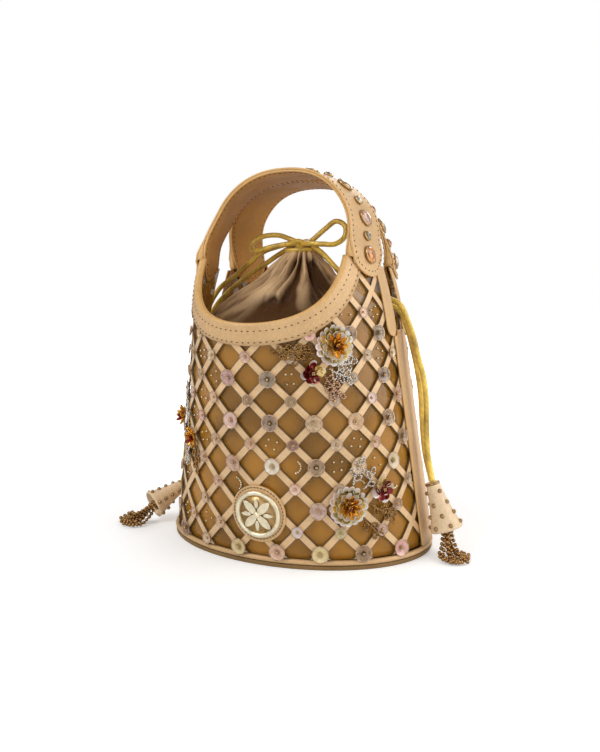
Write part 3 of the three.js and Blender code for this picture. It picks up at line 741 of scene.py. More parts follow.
def handle_filler(side):
    """Wedge that closes the edge between the two layers of a handle above the panel."""
    corners = ((1.0, 0.2), (1.0, 0.8), (0.985, 1.0), (0.72, 1.0), (0.70, 0.5), (0.72, 0.0), (0.985, 0.0))
    low = FILLER_LOW[side]
    rings = []
    for k in range(17):
        z = low + (FILLER_TOP - low) * k / 16
        t = next(i / 1200 for i in range(600) if strap_middle(i / 1200, side).z >= z)
        part = strap_split(t)
        inner = (LINING[0] + STRAP_T) * (1 - part) + FILLER_INSET
        outer = (TRIM[1] + STRAP_GAP) * (1 - part) - FILLER_INSET
        ring = []
        for w, h in corners:
            height = inner + (outer - inner) * h
            ring.append(strap_middle(t, side * w) + strap_out(t, side * w) * height)
        rings.append(ring)
    return loft(rings)


def build_fillers(side):
    """Both feet of one handle closed at both edges."""
    fillers = bmesh.new()
    for edge in (-1, 1):
        right = handle_filler(edge)
        left = right.copy()
        bmesh.ops.transform(left, matrix=Matrix.Scale(-1, 4, (1, 0, 0)), verts=left.verts)
        bmesh.ops.recalc_face_normals(left, faces=left.faces)
        join(fillers, right)
        join(fillers, left)
    piece(f"{side}_handle_fillers", on_side(fillers, side), ["edge_paint"])


def handle_layer(outer):
    """Outer strap or lining of the front handle."""
    rings = []
    for t in strap_rows():
        half = max(0.0013, tab_half(strap_middle(t, 0).z - TAB_Z, STRAP_HALF))
        points, zones = strap_section(half, 0.0, STRAP_T, 10)
        rings.append([strap_point(t, x / STRAP_HALF, h, outer) for x, h in points])
    return loft(rings, zones)


def build_handles(sizes):
    build_fillers("front")
    build_fillers("back")
    stitches = Tray()
    stitch = stitch_shape(sizes.stitch_length, sizes.thread)
    for side in ("front", "back"):
        strap = on_side(handle_layer(True), side)
        piece(f"{side}_handle_strap_leather", strap, TRIM_LOOK, [f"{side}_handle_strap"])
        lining = on_side(handle_layer(False), side)
        looks = ("strap_lining", "edge_paint", "strap_lining")
        piece(f"{side}_handle_lining_leather", lining, looks, [f"{side}_handle_lining"])
        for outer in (True, False):
            height, way = (STRAP_T + 0.00005, 1) if outer else (-0.00005, -1)
            path = []
            for t, w in inset_path(0.0032):
                path.append((strap_point(t, w, height, outer), strap_out(t, w) * way))
            stitch_along(stitches, stitch, path, sizes.stitch_pitch, side)
    piece("handle_stitching", stitches.bm, ["thread"])


# Stones of a handle: how many, large and small in turn, and how far the first and last are from its ends
STONES, STONE_END = 15, 0.015
STONE_TINTS = {
    "amber": (0.72, 0.24, 0.015),
    "blush": (0.78, 0.4, 0.26),
    "olive": (0.4, 0.36, 0.16),
    "clear": (0.72, 0.64, 0.5),
    "champagne": (0.7, 0.48, 0.24),
    "smoke": (0.3, 0.24, 0.2),
    "rose": (0.66, 0.28, 0.24),
}
STONE_ORDER = (
    "amber", "olive", "blush", "clear", "champagne", "smoke", "clear", "rose",
    "amber", "clear", "blush", "olive", "champagne", "smoke", "amber",
)


def stone_shapes(r):
    """Bezel cup and faceted stone of radius r."""
    inside = r - 0.0007
    cup = [
        (0, 0), (r, 0), (r, 0.0014), (r - 0.0003, 0.0017), (r - 0.0006, 0.0016), (inside, 0.001), (0, 0.001),
    ]
    dome = [
        (0, 0.0008), (inside, 0.0008), (inside, 0.0014), (r * 0.66, 0.0025), (r * 0.34, 0.003), (0, 0.0031),
    ]
    stone = lathe(dome, 12)
    for face in stone.faces:
        face.smooth = False
    return shape(lathe(cup, 28)), shape(stone)


def build_stones(sizes):
    path = [(strap_point(k / 400, 0, STRAP_T), strap_out(k / 400, 0)) for k in range(401)]
    lengths = run_lengths([p for p, _ in path])
    shapes = (stone_shapes(sizes.stone / 2), stone_shapes(sizes.stone * 0.29))
    bezels, stones = Tray(), Tray()
    for side in ("front", "back"):
        for k in range(STONES):
            i, _ = span_at(lengths, STONE_END + (lengths[-1] - 2 * STONE_END) * k / (STONES - 1))
            point, out = path[i]
            along = (path[min(i + 1, 400)][0] - path[i - 1][0]).normalized()
            place = place_on(aimed(point + out * 0.0002, along, out), side)
            cup, gem = shapes[k % 2]
            bezels.add(cup, place)
            stones.add(gem, place, STONE_TINTS[STONE_ORDER[k if side == "front" else (k + 4) % STONES]])
    nodes = [f"{side}_stone_{k}" for side in ("front", "back") for k in range(1, 9)]
    piece("handle_bezels", bezels.bm, ["bezel_gold"], nodes)
    piece("handle_stones", stones.bm, ["cut_stone"], tints=stones.tints)


# Film, lattice, trim and base


def wall_sheet(columns, rows, layer):
    """Closed thin panel over the whole front wall."""
    low, high = layer
    rings = []
    for j in range(rows + 1):
        ring = []
        for off, order in ((high, columns), (low, columns[::-1])):
            for s in order:
                ring.append(wall(s, WALL_Z + (panel_top(s) - WALL_Z) * j / rows, off))
        rings.append(ring)
    return loft(rings)


# Heights at which the film's outer columns meet the edge of the V
V_HEIGHTS = (0.196, 0.184, 0.172, 0.160, 0.1585, 0.157, 0.155, 0.153, 0.1515, 0.1505)


def film_columns():
    """Columns of the film from seam to seam, closest where its edge follows the V."""
    edge = SIDE_S - v_gap(HORN_Z)
    right = [HORN_S * k / 14 for k in range(15)]
    right += [HORN_S + 0.001 + (edge - HORN_S - 0.0015) * k / 9 for k in range(10)]
    right += [SIDE_S - v_gap(z) + 0.00002 for z in V_HEIGHTS]
    right += [SIDE_S - SEAM_GAP]
    return [-s for s in reversed(right[1:])] + right


def build_film():
    for side in ("front", "back"):
        sheet = on_side(wall_sheet(film_columns(), 40, FILM), side)
        piece(f"{side}_film_panel", sheet, ["gold_film"], [f"{side}_film"])


def lattice_net(strip):
    """Flat diamond net in (s, z), made from squares turned by an eighth of a turn."""
    cell = math.hypot(PITCH_S, PITCH_Z) / 2
    cells = 18
    bm = bmesh.new()
    bmesh.ops.create_grid(bm, x_segments=cells, y_segments=cells, size=cell * cells / 2)
    faces = list(bm.faces)
    bmesh.ops.inset_individual(bm, faces=faces, thickness=strip / 2, use_even_offset=True)
    bmesh.ops.delete(bm, geom=faces, context="FACES")
    long_edges = [e for e in bm.edges if e.calc_length() > 0.006]
    bmesh.ops.subdivide_edges(bm, edges=long_edges, cuts=4, use_grid_fill=True)
    bmesh.ops.rotate(bm, cent=(0, 0, 0), matrix=Matrix.Rotation(math.pi / 4, 3, "Z"), verts=bm.verts)
    root = math.sqrt(2) * cell
    bmesh.ops.scale(bm, vec=(PITCH_S / root, PITCH_Z / root, 1), verts=bm.verts)
    bmesh.ops.translate(bm, vec=(CROSS_S, CROSS_Z + 3.5 * PITCH_Z, 0), verts=bm.verts)
    geom = bm.verts[:] + bm.edges[:] + bm.faces[:]
    foot_line = (0, LATTICE_FOOT, 0)
    bmesh.ops.bisect_plane(bm, geom=geom, plane_co=foot_line, plane_no=(0, -1, 0), clear_outer=True)
    hidden = []
    for face in bm.faces:
        mid = face.calc_center_median()
        if abs(mid.x) > SIDE_S - 0.002 or mid.y > HORN_Z - 0.002 or mid.y > panel_top(mid.x) - 0.003:
            hidden.append(face)
    bmesh.ops.delete(bm, geom=hidden, context="FACES")
    loose = [v for v in bm.verts if not v.link_faces]
    bmesh.ops.delete(bm, geom=loose, context="VERTS")
    return bm


def build_lattice(sizes):
    for side in ("front", "back"):
        bm = lattice_net(sizes.strip)
        rim = bmesh.ops.inset_region(
            bm, faces=bm.faces[:], thickness=0.00042, use_boundary=True, use_even_offset=True,
        )
        # The outline ring and the solidified sides take the darkened finish, partly painted shade
        for face in rim["faces"]:
            face.material_index = 1
        for vert in bm.verts:
            vert.co = wall(vert.co.x, vert.co.y, LATTICE[0])
        bmesh.ops.recalc_face_normals(bm, faces=bm.faces)
        middle = min(bm.faces, key=lambda f: f.calc_center_median().y)
        if middle.normal.y > 0:
            bmesh.ops.reverse_faces(bm, faces=bm.faces)
        looks = ["lattice_leather", "lattice_edge_and_shade"]
        obj = piece(f"{side}_lattice_leather", on_side(bm, side), looks, [f"{side}_lattice"])
        solid = obj.modifiers.new("Thickness", "SOLIDIFY")
        solid.thickness = LATTICE[1] - LATTICE[0]
        solid.offset = 1.0
        solid.material_offset_rim = 1


# Section of the rim binding, as (distance down from the rim, offset from the wall), and its zones
RIM_SECTION = (
    (RIM_BAND, 0.0030), (0.009, 0.0031), (0.005, 0.0031), (0.001, 0.0031), (-0.0009, 0.0029),
    (-0.0017, 0.0021), (-0.0020, 0.0004), (-0.0017, -0.0014), (-0.0009, -0.0022), (0.001, -0.0024),
    (0.006, -0.0024),
    (RIM_BAND, -0.0023), (RIM_BAND, -0.0012), (-0.0006, -0.0012), (-0.0006, 0.0019), (RIM_BAND, 0.0019),
)
RIM_ZONES = [0] * 4 + [1] * 4 + [2] * 6 + [1] * 2
# Upper end of a side band, as (height, half width)
BAND_END = ((0.1461, 0.0147), (0.1465, 0.0135), (0.1468, 0.0105), (0.1475, 0.0088), (0.1505, 0.0082))


def below_rim(s, d):
    """Place (s, z) a distance d below the rim, square to it."""
    across, down = rim_normal(s)
    return s + across * d, rim_height(s) + down * d


def build_rim(side):
    """Binding over the rim, whose inner lip narrows away under the handle linings."""
    rings = []
    for k in range(97):
        s = 2 * RIM_END * k / 96 - RIM_END
        past = smooth(abs(s), 0.0705, 0.0735)
        ring = []
        for d, off in RIM_SECTION:
            if off < 0:
                d = d + (min(d, 0.0006) - d) * past
            ring.append(wall(*below_rim(s, d), off))
        rings.append(ring)
    binding = on_side(loft(rings, RIM_ZONES), side)
    piece(f"{side}_rim_binding", binding, TRIM_LOOK, [f"{side}_rim_band"])


def stitch_rim(tray, stitch, pitch, side):
    """Two rows of stitches outside and one inside."""
    for d, off, way in ((0.0033, 0.0031, 1), (0.0106, 0.0031, 1), (0.0033, -0.0024, -1)):
        path = []
        for k in range(241):
            spot = below_rim(2 * RIM_STITCH_END * k / 240 - RIM_STITCH_END, d)
            path.append((wall(*spot, off), seat(*spot).to_3x3().col[2] * way))
        stitch_along(tray, stitch, path, pitch, side)


def build_tongue(side, sign):
    """Strip with a round lower end on the edge of a horn: for a sign of 1 the one at the viewer's right."""
    middle = sign * (SIDE_S - V_HALF - TONGUE_HALF)
    rings = []
    for k in range(25):
        z = TONGUE_LOW + TONGUE_RISE * (1 - math.cos(math.pi / 2 * k / 24))
        low = z - TONGUE_LOW
        half = TONGUE_HALF
        if low < half:
            half = max(0.0008, math.sqrt(max(0.0, half * half - (half - low) ** 2)))
        points, zones = strap_section(half, *BAND, 6)
        rings.append([wall(middle + x, z, h) for x, h in points])
    on_right = (sign > 0) == (side == "front")
    name = f"{side}_tongue_right" if on_right else f"{side}_tongue_left"
    piece(f"{name}_strip", on_side(loft(rings, zones), side), TRIM_LOOK, [name])


def build_side_band(name, side):
    """Band over the seam at the viewer's right of one side."""
    rows = [(WALL_Z + (SIDE_BAND_TOP - WALL_Z) * k / 30, SIDE_BAND_HALF) for k in range(31)]
    rings = []
    for z, half in (*rows, *BAND_END):
        points, zones = strap_section(half, *BAND, 12)
        rings.append([wall(SIDE_S + x, z, h) for x, h in points])
    band = on_side(loft(rings, zones), side)
    piece(f"side_seam_band_{name}", band, TRIM_LOOK, [f"side_band_{name}"])


def build_trim(sizes):
    stitches = Tray()
    stitch = stitch_shape(sizes.stitch_length, sizes.thread)
    for side in ("front", "back"):
        build_rim(side)
        stitch_rim(stitches, stitch, sizes.stitch_pitch, side)
        build_tongue(side, 1)
        build_tongue(side, -1)
    build_side_band("right", "front")
    build_side_band("left", "back")
    piece("trim_stitching", stitches.bm, ["thread"])


def build_base():
    bm = bmesh.new()
    bmesh.ops.create_circle(bm, cap_ends=True, segments=112, radius=1)
    bmesh.ops.scale(bm, vec=(HALF_W + SOLE_OUT, HALF_D + SOLE_OUT, 1), verts=bm.verts)
    thicken(bm, SOLE_H)
    rims = [e for e in bm.edges if abs(e.verts[0].co.z - e.verts[1].co.z) < 1e-6]
    bmesh.ops.bevel(
        bm, geom=rims, offset=0.0006, segments=2, affect="EDGES", profile=0.5, material=-1,
        offset_type="OFFSET",
    )
    # The sole's darkened finish is painted shade under the welt
    piece("base_sole", bm, ["shaded_sole_leather"], ["base_board"])

    a, b = HALF_W + WELT_OUT, HALF_D + WELT_OUT
    up = Vector((0, 0, 1))
    turns = [2 * math.pi * m / 10 for m in range(10)]
    rings = []
    for k in range(128):
        t = 2 * math.pi * k / 128
        out = Vector((math.cos(t) / a, math.sin(t) / b, 0)).normalized()
        middle = Vector((a * math.cos(t), b * math.sin(t), WELT_Z))
        rings.append([middle + WELT_R * (math.cos(w) * out + math.sin(w) * up) for w in turns])
    piece("base_welt", loft(rings, closed=True), ["pearl_leather"], ["base_piping"])


# Pouch and drawstring

# Height in metres where the pouch starts to gather, and from there on: height, reach to the left and right,
# and depth, in mm
POUCH_RIM = 0.146
POUCH_LEVELS = (
    (146, 71.1, 71.1, 85.5), (152, 70.5, 69.5, 81.5), (160, 67.5, 62.5, 73), (168, 61, 52.5, 62.5),
    (178, 49, 40, 49), (187, 37, 32.5, 36.5), (195, 27.5, 25, 28), (201, 20.5, 19, 21),
    (205, 15.5, 14.5, 15.5), (208, 11.5, 11, 11.4), (210.8, 8.0, 7.8, 7.6),
)


def pouch_reach(z):
    """Reach of the pouch to the left and right, and its depth."""
    if z <= POUCH_RIM:
        a, b = half_sizes(z)
        inset = 0.0045 + 0.004 * (1 - smooth(z, 0.003, 0.012))
        return a - inset, a - inset, b - inset
    mm = z * 1000
    for low, high in zip(POUCH_LEVELS, POUCH_LEVELS[1:]):
        if mm <= high[0]:
            k = (mm - low[0]) / (high[0] - low[0])
            return tuple((low[c] + (high[c] - low[c]) * k) / 1000 for c in (1, 2, 3))
    return tuple(c / 1000 for c in POUCH_LEVELS[-1][1:])


# Height in mm that the deep folds of the pouch are measured from. The folds: angle in degrees at that height,
# how far it turns back for each mm further down, width in radians, depth in mm, lowest and highest height in
# mm, and the strength of the painted shade in the fold
FOLD_Z = 205
POUCH_FOLDS = (
    (-67, 0.17, 0.095, 9.5, 153, 207, 1.5),
    (-31, 0.10, 0.26, 8.5, 152, 204, 2.0),
    (-50, 0.05, 0.06, 3.5, 182, 206, 0.8),
    (-89, 0.0, 0.24, 8.5, 150, 176, 0.7),
    (-84, 0.1, 0.07, 3.5, 178, 206, 0.8),
    (-100, 0.2, 0.08, 3.5, 182, 206, 0.5),
    (-128, -0.1, 0.16, 4.5, 158, 196, 0.4),
    (-162, 0.2, 0.2, 4.5, 156, 200, 0.5),
    (30, 0.2, 0.25, 5.0, 156, 202, 0.6),
    (84, -0.2, 0.2, 6.0, 156, 204, 0.8),
    (135, 0.1, 0.28, 5.0, 154, 198, 0.6),
)


def near_angle(phi, centre, width):
    """Falls from 1 at the centre to 0 a few widths away."""
    gap = (phi - centre + math.pi) % (2 * math.pi) - math.pi
    return math.exp(-((gap / width) ** 2))


def pouch_gather(phi, z):
    """Inward fold depth of the gathered cloth, and the painted shade of its folds, creases and lower front.
    """
    mm = z * 1000
    warp = phi + 0.22 * noise.noise(Vector((math.cos(phi) * 1.7, math.sin(phi) * 1.7, mm / 26)))
    warp += 0.10 * math.sin(2 * phi + 1.1)
    fine = abs(math.sin(8 * warp)) ** 0.7
    mid = abs(math.sin(4.5 * warp + 0.7)) ** 0.75
    broad = 0.5 + 0.5 * math.cos(5 * warp + 0.8 + mm / 34)
    near_neck = smooth(mm, 170, 202)
    middle = smooth(mm, 150, 192) * (1 - 0.7 * smooth(mm, 198, 208))
    low = smooth(mm, 149, 163) * (1 - smooth(mm, 176, 198))
    depth = 2.6 * near_neck * (1 - fine) + 5.6 * middle * (1 - mid) + 3.8 * low * (1 - broad)
    # Painted shade in the hollows of the small folds near the neck and of the middle folds
    shade = 0.95 * near_neck * max(0, 0.6 - fine) + 0.9 * middle * max(0, 0.55 - mid)
    # Each deep fold sinks the cloth and adds painted shade along its hollow
    for centre, drift, width, deep, bottom, top, dark in POUCH_FOLDS:
        at = math.radians(centre - (FOLD_Z - mm) * drift)
        here = near_angle(phi, at, width * (1 + 0.6 * smooth(FOLD_Z - mm, 0, 45)))
        here *= smooth(mm, bottom - 8, bottom + 22) * (1 - smooth(mm, top - 8, top + 3))
        depth += deep * here
        shade += dark * here**1.6
    cloth = noise.noise(Vector((math.cos(phi) * 3, math.sin(phi) * 3, mm / 14)))
    crease = 1 - abs(noise.noise(Vector((math.cos(warp) * 5.5, math.sin(warp) * 5.5, mm / 30)))) * 2.4
    visible = smooth(mm, 146, 160) * (1 - smooth(mm, 200, 209))
    wrinkle = noise.noise(Vector((math.cos(warp) * 8, math.sin(warp) * 8, mm / 8)))
    depth += (1.8 * cloth + 1.9 * max(0.0, crease) ** 2 + 1.1 * wrinkle) * visible
    # Painted shade along the creases and wrinkles
    shade += (0.22 * max(0.0, crease) ** 3 + 0.5 * max(0.0, wrinkle)) * visible
    # Painted shade on the lower front of the pouch, where the light falls off
    front = near_angle(phi, math.radians(-80), 1.1)
    shade += (0.9 * front + 0.16) * (1 - smooth(mm, 150, 181))
    room = min(1.0, min(pouch_reach(z)) * 1000 / 14)
    return depth * room / 1000, min(1.0, shade)


def spot_key(co):
    """A point rounded, so that it is found again in the finished mesh."""
    return round(co.x, 6), round(co.y, 6), round(co.z, 6)


def build_pouch():
    heights = [0.0031, 0.0045, 0.008] + [0.012 + 0.132 * k / 26 for k in range(27)]
    heights += [POUCH_RIM + 0.0645 * k / 78 for k in range(1, 79)]
    columns = 300
    rings, shades = [], {}
    for z in heights:
        left, right, depth = pouch_reach(z)
        lean = smooth(z, 0.15, 0.21)
        middle = Vector((0.0016 * lean, -0.0008 * lean, z))
        ring = []
        for k in range(columns):
            phi = 2 * math.pi * k / columns
            if z > POUCH_RIM:
                inward, shade = pouch_gather(phi, z)
                size = max(0.25, 1 - inward / max(0.006, (left + right + depth) / 3))
            else:
                # Low ripples, with painted shade in their hollows
                wave = math.sin(11 * phi + 3 * math.sin(z * 40))
                size = 1 - 0.0007 * wave * smooth(z, 0.01, 0.03) / 0.08
                shade = 0.12 * max(0, wave)
            x = (right - left) / 2 + (right + left) / 2 * math.cos(phi)
            point = middle + Vector((x * size, depth * math.sin(phi) * size, 0))
            ring.append(point)
            shades[spot_key(point)] = shade
        rings.append(ring)
    obj = piece("pouch_cloth", loft(rings), ["pouch_satin"], ["pouch"])
    # Painted shade of the folds, creases and lower front, kept on the points for the satin's colour
    layer = obj.data.attributes.new("fold_shade", "FLOAT", "POINT")
    layer.data.foreach_set("value", [shades.get(spot_key(v.co), 0.0) for v in obj.data.vertices])


# Points of each stretch of the drawstring from the knot on, and the knot's middle, in mm
CORDS = {
    "cord_right_a": (
        (11, -4.4, 213.2), (20, -5, 206.5), (34, -4, 192), (47, -3, 183.5), (59, -2.5, 176),
        (70, -2.5, 172.6), (78, -3, 168.5), (83.5, -4, 158), (88, -5, 146), (91.5, -6, 132), (95.5, -7, 117),
        (97.2, -8, 102), (97.4, -9, 85), (98, -9.5, 67), (101.1, -10.1, 48.6),
    ),
    "cord_right_b": (
        (10.3, 0.6, 211.9), (22, 2.6, 202), (35, 3, 188), (47, 3, 179), (59, 3.2, 170.6), (70, 3.4, 167.6),
        (77, 3, 163), (82, 2, 152), (86, 0, 139), (89.5, -1.5, 124), (92.2, -2.5, 106), (93.2, -3.4, 88),
        (95, -4.2, 67), (99.6, -5.6, 47.9),
    ),
    "cord_left_a": (
        (-6.4, -3.8, 214.8), (-18, -4.6, 212), (-28, -5, 208.8), (-43.3, -4.5, 198.1), (-53.8, -4, 189.9),
        (-66.3, -3.4, 181.7), (-74.5, -3, 171), (-79, -3, 160), (-82, -3.4, 146), (-85.5, -4, 128),
        (-88.5, -4.5, 106), (-91.5, -4.5, 84), (-94.5, -4.5, 64), (-97.4, -3.4, 44), (-98.1, -0.7, 26),
    ),
    "cord_left_b": (
        (-6, 1, 213.2), (-20, 2.6, 206), (-31, 3.2, 199.4), (-43, 3.4, 192.6), (-54, 3.4, 185), (-65, 3, 176),
        (-73.5, 2.6, 167), (-79, 2, 157), (-82.2, 1.6, 142), (-85.6, 1.4, 122), (-88.6, 1.4, 100),
        (-91.7, 1.6, 78), (-94.8, 2, 58), (-99, 2.4, 40), (-102.3, 1.4, 25.4),
    ),
    "bow_left": (
        (-7.6, -1, 218.2), (-17, -2, 221.3), (-30, -3, 220.6), (-38.3, -4.6, 215.7), (-37.5, -6.6, 210.4),
        (-30, -9.6, 209.4), (-20, -10.4, 211.6), (-7.5, -9.6, 213.6),
    ),
    "bow_right": (
        (9.9, 1.1, 217), (20, 2, 225.4), (29, 1, 230.7), (36.3, 0, 226.7), (36.6, -2, 218.4), (30.7, -6, 213),
        (22, -9.6, 212.8), (12.8, -9.6, 213.4),
    ),
}
KNOT = (2.5, -1.6, 214.2)


def cord_stub(end, inner, radius):
    """Short run that leads the end of a cord into the knot."""
    near, far, centre = Vector(end), Vector(inner), Vector(KNOT)
    start = near + (far - near).normalized() * 0.4
    bend = near.lerp(centre, 0.45) + (near - far).normalized() * 1.2
    path = path_points([p / 1000 for p in (start, bend, centre)], 10)
    return loft(tube_rings(path, radius, 12), scale=(1, 0.6))


def build_knot(radius):
    """Knot that all the stretches run into."""
    path = []
    for k in range(96):
        t = 2 * math.pi * k / 96
        path.append(Vector((
            KNOT[0] + 2.15 * (math.sin(t) + 2 * math.sin(2 * t)),
            KNOT[1] - 1.45 * math.sin(3 * t) * 1.9,
            KNOT[2] + 0.95 * (math.cos(t) - 2 * math.cos(2 * t)),
        )) / 1000)
    bm = loft(tube_rings(path + path[:1], radius, 10)[:-1], closed=True, scale=(1, 8))
    for name, points in CORDS.items():
        join(bm, cord_stub(points[0], points[1], radius * 0.97))
        if name.startswith("bow"):
            join(bm, cord_stub(points[-1], points[-2], radius * 0.97))
    piece("cord_knot_satin", bm, ["gold_cord"], ["cord_knot"])


def build_neck_loop():
    """Turn of cord round the pouch's neck."""
    path = []
    for k in range(64):
        t = 2 * math.pi * k / 64
        x, y = 0.0006 + 0.0106 * math.cos(t), -0.0008 + 0.0100 * math.sin(t)
        path.append(Vector((x, y, 0.2096 + 0.0008 * math.sin(t))))
    rings = tube_rings(path + path[:1], 0.0017, 10)[:-1]
    piece("neck_loop", loft(rings, closed=True, scale=(1, 4)), ["gold_cord"])


def build_cords(sizes):
    for name, points in CORDS.items():
        path = path_points([Vector(p) / 1000 for p in points], 110)
        length = run_lengths(path)[-1]
        bm = loft(tube_rings(path, sizes.cord / 2, 12), scale=(1, length / 0.013))
        obj = piece(f"{name}_satin", bm, ["gold_cord"], [name])
        tuple(path[0])
        [tuple(p) for p in path]
    build_knot(sizes.cord / 2)
    build_neck_loop()


# Tassels

# Cones: middle of the top and of the mouth, in mm
CONES = {
    "right": ((100.4, -8.2, 47.6), (110.4, -9.4, 18)),
    "left": ((-101, -1.2, 23.4), (-114.5, -21.5, 12.6)),
}
# Rows of studs on a cone: share of its length, count, radius and slope of the leather
STUD_ROWS = ((0.2, 3, 0.0053, 0.15), (0.45, 4, 0.0066, 0.3), (0.68, 5, 0.0083, 0.3), (0.9, 6, 0.0102, 0.25))
# Bead strands: radius of a bead, and the points of each strand in mm
TASSEL_BEAD = 0.0014
STRANDS = {
    "right": (
        ((106.3, -11, 20.8), (107.6, -11.4, 16.5), (107.8, -14, 9), (106.5, -18, 3.4), (112, -23, 2.2),
         (118, -24, 2.2)),
        ((112, -11, 22.8), (113.4, -10.6, 17.5), (115.5, -9.6, 9), (118, -10.5, 2.8), (122, -15, 2.2),
         (125, -20, 2.2)),
        ((109.1, -5.75, 21.8), (110, -5.9, 16.5), (109, -4, 9), (109.6, -2, 3), (116, -3, 2.2),
         (124, -7, 2.2)),
        ((110.4, -8, 20), (111, -8, 14), (113, -7, 7), (115.5, -8, 2.6), (120, -10, 2), (124, -13, 2)),
        ((110, -12, 20), (110.6, -13, 14), (111.4, -16, 7), (113, -18.5, 2.6), (117, -20, 2),
         (121.5, -21.5, 2)),
    ),
    "left": (
        ((-110.3, -19.2, 11.7), (-112.2, -23.4, 9.4), (-113.5, -30, 4.6), (-114, -35, 2.4),
         (-120.5, -41, 2.2), (-128, -40, 2.2)),
        ((-113.5, -19.5, 16), (-115.6, -23.6, 13.6), (-121, -27, 6), (-126, -30.5, 2.4), (-132, -32, 2.2),
         (-138, -30, 2.2)),
        ((-108.7, -22, 16), (-110.8, -26.1, 14), (-118, -33, 10), (-123, -33.5, 7.8), (-128.5, -28.5, 7),
         (-135, -22.5, 3.6), (-139.5, -18, 2.2)),
        ((-111, -21, 14), (-113, -25, 12), (-118, -30, 5.5), (-122, -34.5, 2.4), (-127, -36, 2),
         (-133, -36.5, 2)),
        ((-111.5, -20.5, 15), (-114.5, -25, 13), (-119.5, -30, 8), (-124.5, -30, 4), (-130, -27.5, 2.4),
         (-136, -25.5, 2)),
    ),
}


def cone_outline(length):
    """Collar, flared side and hollow mouth of a cone."""
    return (
        (0, 0), (0.0041, 0), (0.0047, 0.0005), (0.0048, 0.0016), (0.0052, length * 0.2),
        (0.0063, length * 0.42), (0.0080, length * 0.66), (0.0098, length * 0.86), (0.0107, length * 0.96),
        (0.0106, length), (0.0098, length), (0.0094, length * 0.96), (0.0086, length * 0.9),
        (0, length * 0.87),
    )


def build_cone(side):
    """Rolled leather cone with its studs and metal collar."""
    top, mouth = (Vector(p) / 1000 for p in CONES[side])
    length = (mouth - top).length
    bm = lathe(cone_outline(length), 40)
    place = aimed(top, (mouth - top).orthogonal().normalized(), (mouth - top).normalized())
    for vert in bm.verts:
        dent = noise.noise(vert.co * 90 + Vector((3, 1, 7)))
        vert.co.x *= 1 + 0.05 * dent
        vert.co.y *= 1 + 0.05 * dent
    bmesh.ops.transform(bm, matrix=place, verts=bm.verts)
    piece(f"cone_leather_{side}", bm, ["cone_leather"], [f"cone_{side}"])

    dome = [
        (0, -0.0004), (0.0013, -0.0004), (0.0015, 0.0003), (0.0011, 0.0012), (0.0005, 0.0017), (0, 0.0018),
    ]
    stud = shape(lathe(dome, 12))
    studs = Tray()
    for row, (share, count, r, slope) in enumerate(STUD_ROWS):
        for k in range(count):
            t = 2 * math.pi * (k + 0.5 * (row % 2) + 0.2) / count
            out = Vector((math.cos(t), math.sin(t), -slope)).normalized()
            point = Vector((r * math.cos(t), r * math.sin(t), length * share))
            studs.add(stud, place @ aimed(point, out.orthogonal().normalized(), out))
    collar = lathe([(0, -0.0002), (0.0049, -0.0002), (0.0052, 0.0006), (0.0049, 0.0014), (0, 0.0014)], 28)
    studs.add(shape(collar), place @ Matrix.Translation((0, 0, 0.0003)))
    piece(f"cone_studs_{side}", studs.bm, ["stud_metal"])


def build_strands(side, rng):
    """Bead strands of a cone, with one more between each two neighbours."""
    runs = [[Vector(p) / 1000 for p in points] for points in STRANDS[side]]
    runs += [
        [p.lerp(q, 0.5) for p, q in zip(path_points(a, 8), path_points(b, 8))]
        for a, b in zip(runs, runs[1:] + runs[:1])
    ]
    bead = bead_shape(2)
    beads = Tray()
    for points in runs:
        count = round(run_lengths(path_points(points, 40))[-1] / (2 * TASSEL_BEAD))
        for p in path_points(points, count):
            wobble = Vector((rng.uniform(-1, 1), rng.uniform(-1, 1), 0)) * 0.0003
            r = TASSEL_BEAD * rng.uniform(0.9, 1.08)
            p = p + wobble
            p.z = max(p.z, r + 0.0001)
            beads.add(bead, Matrix.Translation(p) @ Matrix.Scale(r, 4))
    nodes = [f"beads_{side}_{k}" for k in "abc"]
    piece(f"tassel_beads_{side}", beads.bm, ["bronze_bead"], nodes)


def build_tassels():
    build_cone("right")
    build_cone("left")
    rng = random.Random(4)
    build_strands("right", rng)
    build_strands("left", rng)


# Sequins, flowers and medallion

CREAM, CLEAR, BROWN = (0.8, 0.6, 0.4), (0.66, 0.54, 0.4), (0.42, 0.26, 0.14)
PINK, SALMON, ORANGE = (0.85, 0.56, 0.5), (0.84, 0.52, 0.4), (0.8, 0.48, 0.3)
YELLOW, LIME, LILAC = (0.84, 0.66, 0.34), (0.72, 0.62, 0.32), (0.8, 0.62, 0.58)
GREY, WHITE, DARK = (0.36, 0.28, 0.2), (0.88, 0.78, 0.66), (0.26, 0.1, 0.07)

